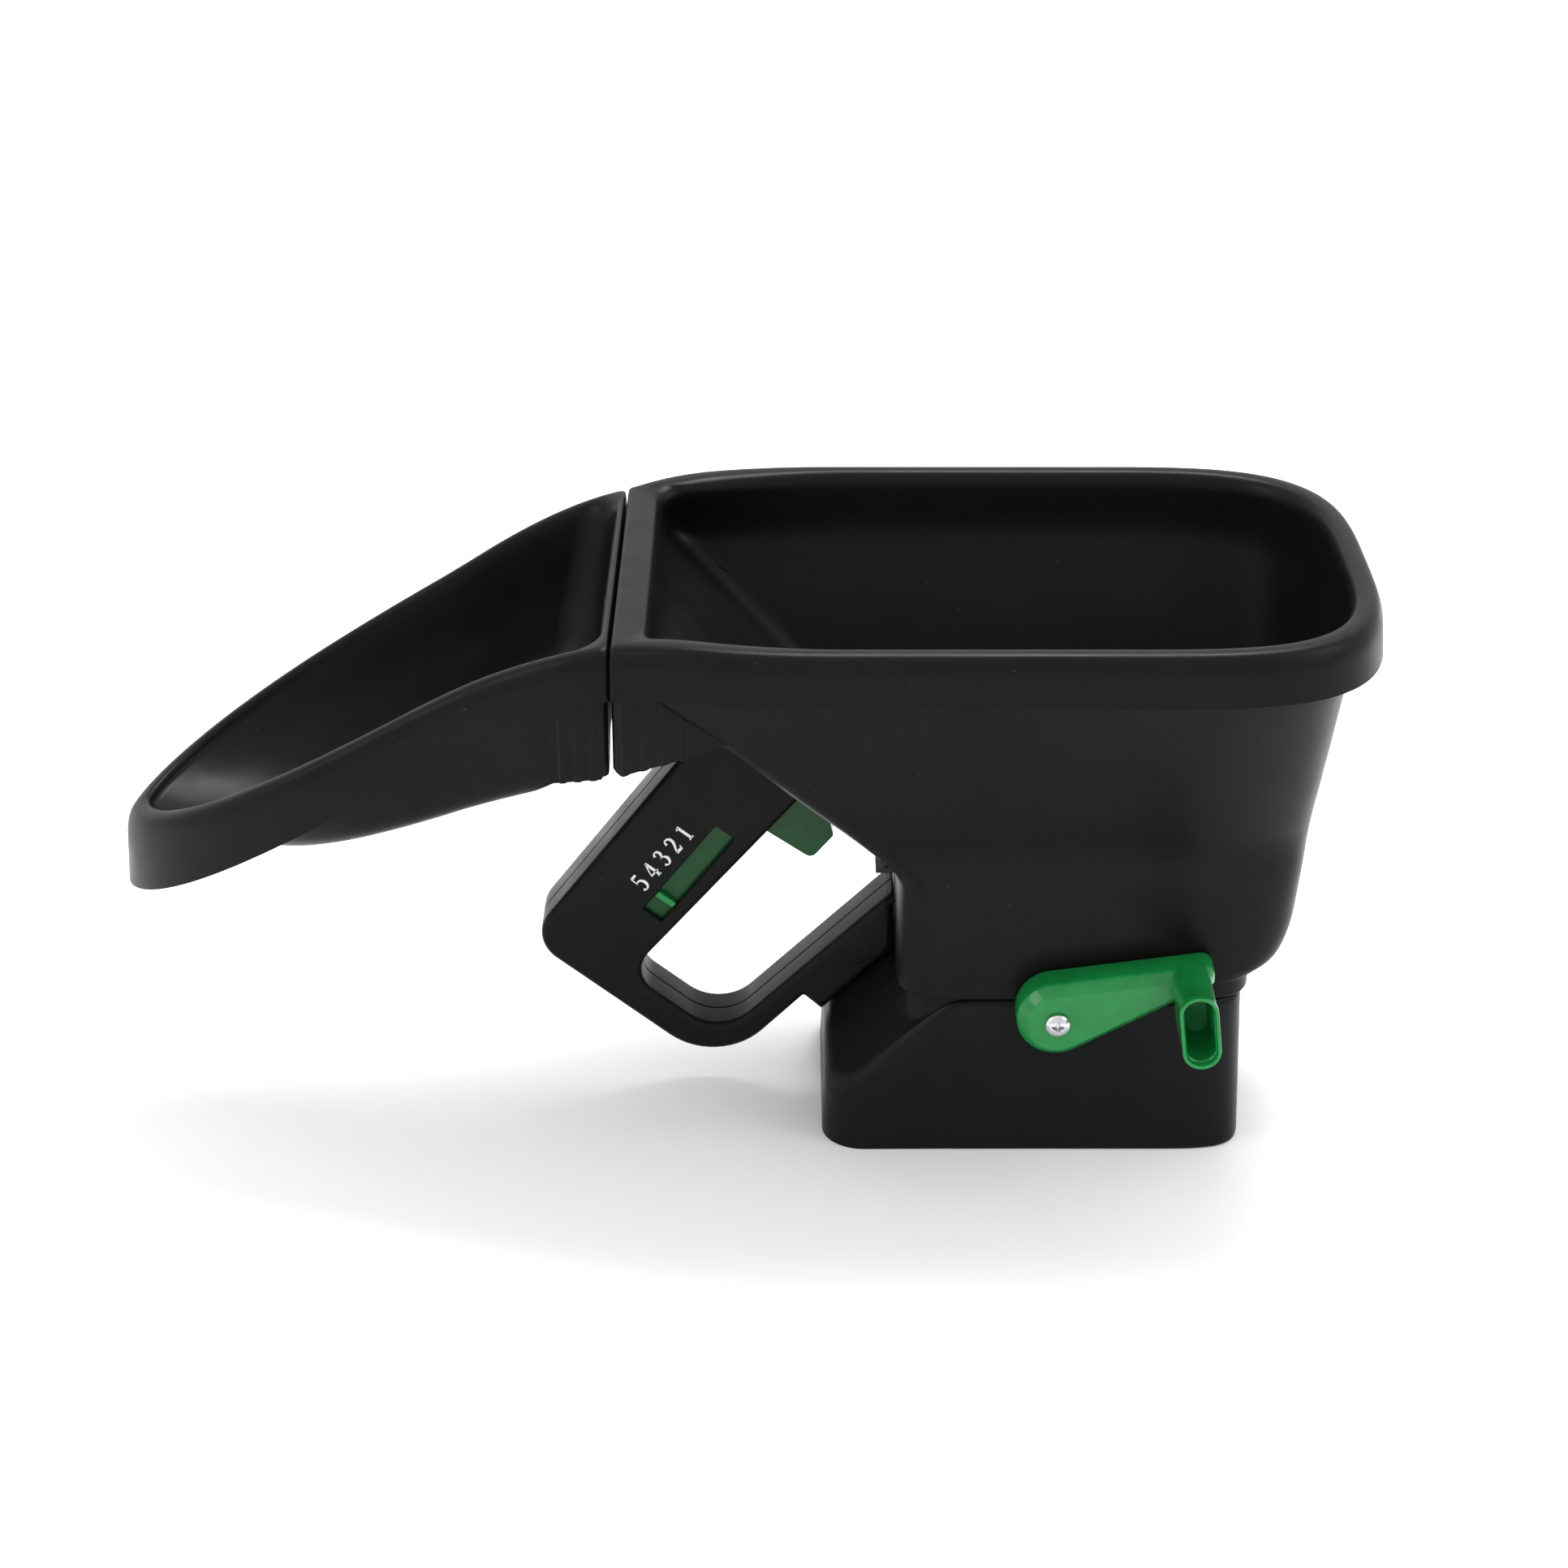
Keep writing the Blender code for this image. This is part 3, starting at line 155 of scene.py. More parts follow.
def bumped(nodes, links, shader, height, strength, distance):
    """Raise a height onto the shader's normal."""
    made = nodes.new("ShaderNodeBump")
    made.inputs["Strength"].default_value = strength
    made.inputs["Distance"].default_value = distance
    links.new(height, made.inputs["Height"])
    links.new(made.outputs["Normal"], shader.inputs["Normal"])


def moulded(name, dark, light, smooth, rough, specular, grain):
    """Moulded plastic: cloudy colour, uneven sheen, a fine grain, flow ripples and a few pale specks."""
    made, nodes, links, shader = shader_of(name)
    clouds = noise(nodes, links, 26.0, 6.0, 0.4)
    body = ramp(nodes, links, clouds, [(0.3, dark), (0.7, light)])
    specks = spread(nodes, links, noise(nodes, links, 620.0, 1.0), 0.80, 0.84)
    mix = nodes.new("ShaderNodeMixRGB")
    links.new(specks, mix.inputs["Fac"])
    links.new(body, mix.inputs["Color1"])
    mix.inputs["Color2"].default_value = (*[min(1.0, c * 3 + 0.03) for c in light], 1.0)
    links.new(mix.outputs["Color"], shader.inputs["Base Color"])
    sheen = spread(nodes, links, noise(nodes, links, 55.0, 8.0, 0.2), 0.3, 0.7, smooth, rough)
    links.new(sheen, shader.inputs["Roughness"])
    shader.inputs["Specular IOR Level"].default_value = specular
    fine = noise(nodes, links, 2600.0, 3.0)
    ripple = noise(nodes, links, 70.0, 2.0)
    bumped(nodes, links, shader, added(nodes, links, fine, ripple, 6.0), grain, 0.00004)
    return made


def glossy(name, dark, light, coat):
    """Glossy coloured plastic with faint flow clouds, a soft glow inside and a clear skin."""
    made, nodes, links, shader = shader_of(name)
    clouds = noise(nodes, links, 60.0, 5.0, 1.2)
    links.new(ramp(nodes, links, clouds, [(0.35, dark), (0.65, light)]), shader.inputs["Base Color"])
    sheen = spread(nodes, links, noise(nodes, links, 160.0, 6.0), 0.3, 0.7, 0.17, 0.28)
    links.new(sheen, shader.inputs["Roughness"])
    shader.inputs["Specular IOR Level"].default_value = 0.22
    shader.inputs["Coat Weight"].default_value = coat
    shader.inputs["Coat Roughness"].default_value = 0.08
    shader.inputs["Subsurface Weight"].default_value = 0.06
    shader.inputs["Subsurface Radius"].default_value = (0.1, 0.6, 0.15)
    shader.inputs["Subsurface Scale"].default_value = 0.0015
    bumped(nodes, links, shader, noise(nodes, links, 210.0, 3.0), 0.10, 0.00008)
    return made


def metal(name, dark, light, smooth, rough, stretch):
    """Bright metal: turned or drawn marks and patchy sheen."""
    made, nodes, links, shader = shader_of(name)
    where = nodes.new("ShaderNodeTexCoord")
    mapping = nodes.new("ShaderNodeMapping")
    mapping.inputs["Scale"].default_value = stretch
    links.new(where.outputs["Object"], mapping.inputs["Vector"])
    marks = nodes.new("ShaderNodeTexNoise")
    marks.inputs["Scale"].default_value = 900.0
    marks.inputs["Detail"].default_value = 4.0
    links.new(mapping.outputs["Vector"], marks.inputs["Vector"])
    patches = noise(nodes, links, 300.0, 6.0)
    links.new(ramp(nodes, links, patches, [(0.3, dark), (0.75, light)]), shader.inputs["Base Color"])
    links.new(spread(nodes, links, patches, 0.3, 0.7, smooth, rough), shader.inputs["Roughness"])
    shader.inputs["Metallic"].default_value = 1.0
    bumped(nodes, links, shader, marks.outputs["Fac"], 0.25, 0.00003)
    return made


def ink():
    """Printed numeral ink: warm white, a little worn."""
    made, nodes, links, shader = shader_of("numeral_ink")
    wear = noise(nodes, links, 1500.0, 4.0)
    links.new(ramp(nodes, links, wear, [(0.25, (0.42, 0.43, 0.42)), (0.5, (0.72, 0.73, 0.72))]),
              shader.inputs["Base Color"])
    shader.inputs["Roughness"].default_value = 0.5
    return made


BLACK = moulded("satin_black", (0.0036, 0.0042, 0.0039), (0.0052, 0.0058, 0.0054), 0.30, 0.40, 0.09, 0.30)
DARK = moulded("satin_dark", (0.010, 0.011, 0.011), (0.014, 0.015, 0.015), 0.40, 0.52, 0.35, 0.35)
IVORY = moulded("natural_plastic", (0.52, 0.50, 0.43), (0.62, 0.60, 0.53), 0.34, 0.45, 0.45, 0.25)
GREEN = glossy("gloss_green", (0.006, 0.175, 0.038), (0.008, 0.210, 0.046), 0.25)
# Painted shade: the gloss green darkened, with almost no coat, for the trigger and the setting strip, which
# sit in shade
GREEN_PAINTED_SHADE = glossy("green_painted_shade", (0.002, 0.045, 0.009), (0.003, 0.060, 0.013), 0.02)
STEEL = metal("bright_steel", (0.50, 0.51, 0.53), (0.68, 0.69, 0.71), 0.20, 0.32, (1.0, 1.0, 6.0))
BRASS = metal("turned_brass", (0.50, 0.34, 0.12), (0.66, 0.47, 0.20), 0.24, 0.38, (1.0, 1.0, 8.0))
INK = ink()


# ---------------------------------------------------------------- mesh making

def finished(name, work, look, body, sharp=40.0):
    """Weld a bmesh in metres, face it outwards, shade it smooth and let it ride a body."""
    bmesh.ops.remove_doubles(work, verts=work.verts, dist=0.000001)
    bmesh.ops.recalc_face_normals(work, faces=work.faces)
    mesh = bpy.data.meshes.new(name)
    work.to_mesh(mesh)
    work.free()
    mesh.materials.append(look)
    mesh.shade_smooth()
    mesh.set_sharp_from_angle(angle=math.radians(sharp))
    made = bpy.data.objects.new(name, mesh)
    bpy.context.scene.collection.objects.link(made)
    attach(made, body)
    return made


def add_grid(work, points, wrap_rows=False, wrap_cols=True, skip=None):
    """Add a grid of points in millimetres to a bmesh as quads; skip is a mask of cells to leave open."""
    rows, cols = points.shape[:2]
    verts = [work.verts.new(spot) for spot in points.reshape(-1, 3) * MM]
    for r in range(rows if wrap_rows else rows - 1):
        for c in range(cols if wrap_cols else cols - 1):
            if skip is not None and skip[r, c]:
                continue
            r2, c2 = (r + 1) % rows, (c + 1) % cols
            corners = ((r, c), (r, c2), (r2, c2), (r2, c))
            work.faces.new([verts[row * cols + col] for row, col in corners])


def add_cap(work, outline, place, hole=None):
    """Fill a flat outline, less a hole, with triangles; place turns (a, b) into a point in millimetres."""
    loops = [np.asarray(outline)] + ([np.asarray(hole)] if hole is not None else [])
    flat, edges = [], []
    for loop in loops:
        start = len(flat)
        flat.extend(Vector(p) for p in loop)
        edges.extend((start + k, start + (k + 1) % len(loop)) for k in range(len(loop)))
    spots, _, faces, *_ = delaunay_2d_cdt(flat, edges, [], 1, 1e-5)
    verts = [work.verts.new(Vector(place(p[0], p[1])) * MM) for p in spots]
    for face in faces:
        middle = sum((spots[k] for k in face), Vector((0.0, 0.0))) / len(face)
        if hole is None or not inside(middle, loops[1]):
            work.faces.new([verts[k] for k in face])


def inside(spot, loop):
    """True if a point lies in a closed loop, by counting crossings."""
    x, y = spot
    x1, y1 = loop[:, 0], loop[:, 1]
    x2, y2 = np.roll(x1, -1), np.roll(y1, -1)
    crosses = ((y1 > y) != (y2 > y)) & (x < (x2 - x1) * (y - y1) / np.where(y2 == y1, 1e-9, y2 - y1) + x1)
    return crosses.sum() % 2 == 1


def grid_piece(name, points, look, body, wrap_rows=False, wrap_cols=True, sharp=40.0):
    """One closed piece from one grid."""
    work = bmesh.new()
    add_grid(work, points, wrap_rows, wrap_cols)
    return finished(name, work, look, body, sharp)


# ---------------------------------------------------------------- profiles

def eased(rows, reaches, wrap, measure, steps=6, stretch=9.0):
    """Round the corners of a path of parameter rows with parabolas and fill its long legs.

    Row k is left at distance reaches[k] on each side of it: (1-t)^2 a + 2t(1-t) row + t^2 b.
    measure picks the columns that count as length.
    """
    rows = np.asarray(rows, float)
    count = len(rows)
    path = []
    for k in range(count):
        if not wrap and k in (0, count - 1):
            path.append(rows[k])
            continue
        back, ahead = rows[k - 1] - rows[k], rows[(k + 1) % count] - rows[k]
        near, far = np.linalg.norm(back[measure]), np.linalg.norm(ahead[measure])
        reach = min(reaches[k], 0.48 * near, 0.48 * far)
        a, b = rows[k] + back * reach / near, rows[k] + ahead * reach / far
        t = np.linspace(0, 1, steps + 1)[:, None]
        path.extend((1 - t) ** 2 * a + 2 * t * (1 - t) * rows[k] + t ** 2 * b)
    full = []
    for k, row in enumerate(path):
        full.append(row)
        if not wrap and k == len(path) - 1:
            break
        step = path[(k + 1) % len(path)] - row
        extra = int(np.linalg.norm(step[measure]) // stretch)
        full.extend(row + step * (j + 1) / (extra + 1) for j in range(extra))
    return np.array(full)


def mirrored(side):
    """Close half an outline from Y >= 0 with its mirror image."""
    return np.vstack([side, side[-2:0:-1] * [1, -1]])


def rim_drop(x):
    """Fall of the rim below its top: level, then a parabola, then a straight slope."""
    run = np.maximum(BEND_START - x, 0.0)
    bend = BEND_SLOPE * BEND_RADIUS
    return np.where(run < bend, run ** 2 / (2 * BEND_RADIUS),
                    bend ** 2 / (2 * BEND_RADIUS) + BEND_SLOPE * (run - bend))


def d_outline(left, right, half, narrow, corner, power):
    """Plan of the hopper: a superellipse end on +X, straight sides, round corners at the left end."""
    turn = np.linspace(0, np.pi / 2, 45)
    c, s = np.cos(turn), np.sin(turn)
    radius = ((c / (right - CAP_CENTRE)) ** power + (s / half) ** power) ** (-1 / power)
    end = np.column_stack([CAP_CENTRE + radius * c, radius * s])
    x = np.linspace(CAP_CENTRE, left + corner, 34)[1:]
    rise = np.clip((x - left) / RIM_TAPER, 0, 1)
    side = np.column_stack([x, narrow + (half - narrow) * rise * (2 - rise)])
    last = side[-1, 1]
    turn = np.linspace(0, np.pi / 2, 13)[1:]
    bend = np.column_stack([left + corner - corner * np.sin(turn), last - corner + corner * np.cos(turn)])
    back = np.column_stack([np.full(10, left), np.linspace(last - corner, 0, 11)[1:]])
    return mirrored(np.vstack([end, side, bend, back]))


def d_rings(rows):
    """Rings for rows of (left, right, half, narrow, corner, power, level, follow).

    Z = level - follow * the fall of the rim.
    """
    rings = []
    for left, right, half, narrow, corner, power, level, follow in rows:
        plan = d_outline(left, right, half, narrow, corner, power)
        rings.append(np.column_stack([plan, level - follow * rim_drop(plan[:, 0])]))
    return np.array(rings)


def rounded(corners, steps=14):
    """An outline from (a, b, radius) corners, each radius an arc tangent to both edges."""
    outline = []
    spots = np.array([c[:2] for c in corners], float)
    for k, (_, _, radius) in enumerate(corners):
        here = spots[k]
        back = spots[k - 1] - here
        ahead = spots[(k + 1) % len(corners)] - here
        back, ahead = back / np.linalg.norm(back), ahead / np.linalg.norm(ahead)
        half = math.acos(np.clip(back @ ahead, -1, 1)) / 2
        bisector = (back + ahead) / np.linalg.norm(back + ahead)
        middle = here + bisector * radius / math.sin(half)
        start = here + back * radius / math.tan(half) - middle
        sweep = math.pi - 2 * half
        if back[0] * ahead[1] - back[1] * ahead[0] > 0:
            sweep = -sweep
        for turn in np.linspace(0, sweep, steps + 1 if radius > 1 else 4):
            c, s = math.cos(turn), math.sin(turn)
            outline.append(middle + [start[0] * c - start[1] * s, start[0] * s + start[1] * c])
    return np.array(outline)


def filled_in(outline, step):
    """Split the long edges of a closed outline so that none is longer than a step."""
    out = []
    for a, b in zip(outline, np.roll(outline, -1, axis=0)):
        parts = max(1, int(np.ceil(np.linalg.norm(b - a) / step)))
        out.extend(a + (b - a) * k / parts for k in range(parts))
    return np.array(out)


def drawn_in(outline, distance):
    """Move a counter-clockwise outline inwards along its mitred normals; distance may vary by point."""
    before = outline - np.roll(outline, 1, axis=0)
    after = np.roll(outline, -1, axis=0) - outline
    before /= np.linalg.norm(before, axis=1)[:, None]
    after /= np.linalg.norm(after, axis=1)[:, None]
    n1 = np.column_stack([-before[:, 1], before[:, 0]])
    n2 = np.column_stack([-after[:, 1], after[:, 0]])
    scale = 1 + (n1 * n2).sum(axis=1)
    return outline + (n1 + n2) / scale[:, None] * np.broadcast_to(distance, len(outline))[:, None]


def upright(outline, depth):
    """Stand an X-Z outline at depths along Y."""
    return np.column_stack([outline[:, 0], np.broadcast_to(depth, len(outline)), outline[:, 1]])


def turned(name, profile, foot, axis, look, body, sides=40, sharp=40.0):
    """Solid of revolution of a (radius, height) profile about an axis through a foot point."""
    axis = np.array(axis, float) / np.linalg.norm(axis)
    side = np.cross(axis, [0.0, 0.0, 1.0] if abs(axis[2]) < 0.9 else [1.0, 0.0, 0.0])
    side /= np.linalg.norm(side)
    other = np.cross(axis, side)
    turn = np.linspace(0, 2 * np.pi, sides, endpoint=False)
    spokes = np.cos(turn)[:, None] * side + np.sin(turn)[:, None] * other
    profile = np.asarray(profile, float)
    points = np.array(foot) + profile[:, 0, None, None] * spokes[None] + profile[:, 1, None, None] * axis
    wrap = profile[0, 0] > 0
    return grid_piece(name, points, look, body, wrap_rows=wrap, sharp=sharp)


# ---------------------------------------------------------------- hopper

def rim_row(margin, drop, left=None, corner=2.0, power=3.5):
    """A row that follows the rim at a margin inside its edge and a drop below its top."""
    start = JOINT_X + (margin if left is None else left)
    return (start, RIM_RIGHT - margin, RIM_HALF - margin, JOINT_HALF - margin, corner, power,
            RIM_TOP - drop, 1)


def level_row(left, right, half, corner, power, z):
    """A row at one height."""
    return (left, right, half, half, corner, power, z, 0)


def hopper():
    """The hopper's wall: up the skirt, over the rim, down the funnel, round the floor and back outside."""
    inner_left, inner_right = NECK_LEFT + NECK_WALL, NECK_RIGHT - NECK_WALL
    inner_half = NECK_HALF - NECK_WALL
    table = [
        (rim_row(0.0, SKIRT, 0.0), 0.5),
        (rim_row(1.3, 6.0, 0.0), 5.0),
        (rim_row(3.6, 0.9, 0.3), 3.0),
        (rim_row(7.5, 0.0, 1.6, 3.0), 3.0),
        (rim_row(11.4, 0.8, 12.0, 10.0), 2.6),
        (rim_row(13.4, 5.5, 14.5, 13.0), 4.0),
        (level_row(-30.5, 242.6, 89.0, 8.0, 3.6, 222.0), 7.0),
        (level_row(51.3, 232.6, 55.2, 10.0, 4.5, 143.4), 9.0),
        (level_row(inner_left, 230.6, inner_half, 14.0, 5.0, 125.0), 4.0),
        (level_row(70.5, 228.0, 53.5, 16.0, 5.0, 115.0), 6.0),
        (level_row(76.0, 219.0, 48.0, 14.0, 5.0, FLOOR_TOP), 4.0),
    ]
    path = eased([row for row, _ in table], [reach for _, reach in table], False, [1, 2, 6])
    under = [
        level_row(inner_left, 226.0, inner_half, 15.5, 5.5, FLOOR_UNDER),
        level_row(inner_left, 225.0, inner_half, 15.5, 5.5, 97.0),
        level_row(inner_left, inner_right, inner_half, 15.5, 7.0, 83.6),
        level_row(inner_left, inner_right, inner_half, 15.5, 7.0, NECK_BOTTOM + 0.6),
        level_row(NECK_LEFT + 0.7, NECK_RIGHT - 0.7, NECK_HALF - 0.7, 17.5, 7.0, NECK_BOTTOM),
        level_row(NECK_LEFT, NECK_RIGHT, NECK_HALF, 18.0, 7.0, NECK_BOTTOM + 0.9),
        level_row(NECK_LEFT, NECK_RIGHT, NECK_HALF, 18.0, 7.0, 79.6),
        level_row(NECK_LEFT, 215.6, NECK_HALF, 18.0, 6.5, 80.8),
        level_row(NECK_LEFT, 225.2, NECK_HALF, 18.0, 5.8, 86.0),
        level_row(NECK_LEFT, 230.2, NECK_HALF, 18.0, 5.3, 98.0),
        level_row(NECK_LEFT, 233.4, NECK_HALF, 15.0, 5.0, 125.0),
        level_row(50.5, 235.0, NECK_HALF + 0.4, 11.0, 4.5, 140.5),
        level_row(-34.0, 245.6, 91.6, 9.0, 3.6, 225.0),
        rim_row(10.6, 3.6, 11.5, 14.0),
        rim_row(3.9, 3.2, 2.4),
        rim_row(2.4, SKIRT - 0.4, 2.4),
        rim_row(1.0, SKIRT + 0.3, 1.0),
    ]
    reaches = [3, 8, 4, 0.4, 0.6, 0.6, 0.8, 2, 7, 9, 6, 12, 6, 2, 2, 0.3, 0.5]
    outside = eased(under, reaches, False, [1, 2, 6])
    points = np.vstack([d_rings(path), port_rings(), d_rings(outside)])
    made = grid_piece("hopper_shell", points, BLACK, "frame", wrap_rows=True, sharp=50.0)
    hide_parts("hopper")


def port_rings():
    """The outlet's edge in the floor, as rings with the hopper's point count: a squarish superellipse."""
    plan = d_outline(74.0, 222.0, 50.0, 50.0, 14.0, 5.0)
    turn = np.arctan2(plan[:, 1] / 50.0, (plan[:, 0] - 148.0) / 74.0)
    c, s = np.cos(turn), np.sin(turn)

    def ring(grow, z):
        radius = (np.abs(c / (PORT_REACH + grow)) ** 8 + np.abs(s / (PORT_HALF + grow)) ** 8) ** (-1 / 8)
        return np.column_stack([PORT_CENTRE + radius * c, radius * s, np.full(len(c), z)])

    rows = ((0.8, FLOOR_TOP), (0.2, FLOOR_TOP - 0.3), (0.0, FLOOR_TOP - 1), (0.0, FLOOR_UNDER))
    return np.array([ring(grow, z) for grow, z in rows])


def ribbing(distance, start, pitch, count, wide, high):
    """Height of a row of upright ribs at distances along a wall: flat tops with short round sides."""
    rise = np.zeros_like(distance)
    for k in range(count):
        edge = np.abs(distance - start - pitch * k)
        rise = np.maximum(rise, np.clip((wide / 2 + 1.6 - edge) / 1.6, 0, 1))
    return high * rise * rise * (3 - 2 * rise)


def coupling():
    """The wall under the deck at the joint: two ribbed cheeks and the end plate, one bent sheet."""
    x = np.linspace(-2.6, -43.0, 160)
    turn = np.linspace(0, np.pi / 2, 9)[1:]
    draw = 2.2 * np.clip((x + 14.0) / 11.4, 0, 1)
    near = np.column_stack([x, draw - 84.0 - ribbing(-x, 19.0, 7.6, 4, 1.2, 0.9)])
    corner = np.column_stack([-43.0 - 3.8 * np.sin(turn), -80.2 - 3.8 * np.cos(turn)])
    across = np.column_stack([np.full(8, -46.8), np.linspace(-80.2, 0, 9)[1:]])
    path = np.vstack([near, corner, across])
    path = np.vstack([path, path[-2::-1] * [1, -1]])
    inner = np.column_stack([np.minimum(path[:, 0] + 2.4, np.maximum(path[:, 0], -44.4)),
                             np.sign(path[:, 1]) * np.clip(np.abs(path[:, 1]) - 0.8, 0, 82.6)])
    low = np.interp(path[:, 0], [-46.8, -43.6, -3.3], [190.8, 188.3, 200.5])
    high = np.interp(path[:, 0], [-34.0, -25.0, -14.5, -8.0, -2.6], [225.5, 217.5, 209.8, 207.0, 203.5])
    rows = [(inner, low), (path, low), (path, 0.5 * (low + high)), (path, high), (inner, high)]
    points = np.array([np.column_stack([plan, z]) for plan, z in rows])
    work = bmesh.new()
    add_grid(work, points, wrap_rows=True, wrap_cols=False)
    bmesh.ops.holes_fill(work, edges=work.edges)
    made = finished("joint_wall", work, BLACK, "frame", 35.0)


def hopper_fittings():
    """The boss under the bush, the posts for the base screws and the lug that the handle grips."""
    turned("shaft_boss", [(9.0, 109.0), (9.0, 113.4), (8.4, 114.0), (6.2, 114.0), (5.7, 113.5), (5.7, 109.0)],
           (AXIS_X, 0, 0), (0, 0, 1), BLACK, "frame")
    post = [(4.0, 108.4), (4.0, 81.6), (3.5, 81.0), (2.2, 81.0), (1.7, 81.5), (1.7, 94.0), (1.7, 108.4)]
    for k, (x, y) in enumerate(BASE_SCREWS):
        turned("screw_post_%d" % (k + 1), post, (x, y, 0), (0, 0, 1), BLACK, "frame", 28)
    lug = filled_in(rounded([(*corner, 1.2) for corner in LUG_CORNERS], 6), 4)
    slab("handle_lug", lug, -3.4, 3.4, 0.8, BLACK, "frame")


def slab(name, outline, front, back, edge, look, body, sharp=40.0):
    """A flat piece: an X-Z outline between two Y planes with quarter-round edges on both faces."""
    turn = np.linspace(0, np.pi / 2, 6)
    rows = []
    for face, inward in ((front, 1), (back, -1)):
        arc = [(edge * (1 - math.cos(a)), face + inward * edge * (1 - math.sin(a))) for a in turn]
        arc = arc + [(edge + 0.25, face)]
        rows.extend(arc[::-1] if inward == 1 else arc)
    points = np.array([upright(drawn_in(outline, d), y) for d, y in rows])
    work = bmesh.new()
    add_grid(work, points)
    for d, y in (rows[0], rows[-1]):
        add_cap(work, drawn_in(outline, d), lambda a, b, y=y: (a, y, b))
    return finished(name, work, look, body, sharp)


# ---------------------------------------------------------------- arm rest

def scoop_outline(right, tip, half, corner):
    """Plan of the arm rest: a straight end at the joint, sides that draw in and a blunt round tip."""
    length = right - tip
    end = np.column_stack([np.full(8, right), np.linspace(0, half - corner, 9)[:-1]])
    turn = np.linspace(0, np.pi / 2, 11)
    bend = np.column_stack([right - corner + corner * np.cos(turn), half - corner + corner * np.sin(turn)])
    start = corner / length
    t = start + (1 - start) * np.sin(np.linspace(0, np.pi / 2, 76)[1:]) ** 1.15
    ease = lambda v: np.clip(v, 0, 1) ** 2 * (3 - 2 * np.clip(v, 0, 1))
    width = half - 0.15 * half * (ease(t / 0.4) - ease(start / 0.4))
    side = np.column_stack([right - t * length, width * np.maximum(1 - t ** 3.9, 0) ** 0.62])
    return mirrored(np.vstack([end, bend, side]))


def scoop_rings(rows):
    """Rings for rows of (right, tip, half, corner, rim, floor, rise, grow).

    Z = rim * crest(x) + floor * trough(x) + rise - grow * t, t from 0 at the joint to 1 at the tip.
    """
    rings = []
    for right, tip, half, corner, rim, floor, rise, grow in rows:
        plan = scoop_outline(right, tip, half, corner)
        x = plan[:, 0]
        t = (ARM_RIGHT - x) / (ARM_RIGHT - ARM_TIP)
        z = rim * (RIM_TOP - rim_drop(x)) + floor * (173.0 + 0.375 * (x + 56.0)) + rise - grow * t
        rings.append(np.column_stack([plan, z]))
    return np.array(rings)


def arm_row(margin, drop, end, corner, grow=0.0):
    """A row that follows the arm rest's rim."""
    return (ARM_RIGHT - end, ARM_TIP + margin, ARM_HALF - margin, corner, 1, 0, -drop, grow)


def arm_rest():
    """The arm rest's shell: up the skirt, over the rim, down into the trough, and back under it."""
    inner = [
        (arm_row(0.0, SKIRT, 0.0, 2.0, 10.0), 0.5),
        (arm_row(1.3, 6.0, 0.0, 2.0), 5.0),
        (arm_row(3.6, 0.9, 0.3, 2.5), 3.0),
        (arm_row(7.5, 0.0, 1.2, 5.0), 3.0),
        (arm_row(11.2, 0.9, 3.2, 13.0), 2.6),
        (arm_row(13.0, 5.5, 4.4, 15.0), 5.0),
        ((ARM_RIGHT - 6.0, -228.0, 69.0, 20.0, 0.5, 0.5, 2.0, 0), 9.0),
        ((ARM_RIGHT - 8.0, -203.0, 58.0, 24.0, 0, 1, 7.0, 0), 9.0),
        ((ARM_RIGHT - 16.0, -184.0, 40.0, 22.0, 0, 1, 0.0, 0), 9.0),
        ((ARM_RIGHT - 40.0, -150.0, 0.0, 0.0, 0, 1, -1.0, 0), 0.0),
    ]
    outer = [
        ((ARM_RIGHT - 40.0, -150.0, 0.0, 0.0, 0, 1, -1.0 - ARM_WALL, 0), 0.0),
        ((ARM_RIGHT - 15.0, -185.5, 42.0, 22.0, 0, 1, -ARM_WALL, 0), 9.0),
        ((ARM_RIGHT - 5.8, -205.2, 60.2, 24.0, 0, 1, 5.6, 0), 9.0),
        ((ARM_RIGHT - 3.8, -230.2, 71.2, 20.0, 0.5, 0.5, 0.6, 0), 9.0),
        (arm_row(10.6, 3.6, 2.2, 14.0), 2.0),
        (arm_row(3.9, 3.2, 2.2, 2.0), 2.0),
        (arm_row(2.2, SKIRT - 0.4, 2.2, 2.0, 10.0), 0.3),
        (arm_row(1.0, SKIRT + 0.3, 1.0, 2.0, 10.0), 0.5),
    ]
    columns = [1, 2, 6]
    top = eased([row for row, _ in inner], [reach for _, reach in inner], False, columns)
    under = eased([row for row, _ in outer], [reach for _, reach in outer], False, columns)
    work = bmesh.new()
    rings = scoop_rings(np.vstack([under, top]))
    add_grid(work, rings)
    made = finished("arm_rest_shell", work, BLACK, "frame", 50.0)
    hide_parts("arm_rest")


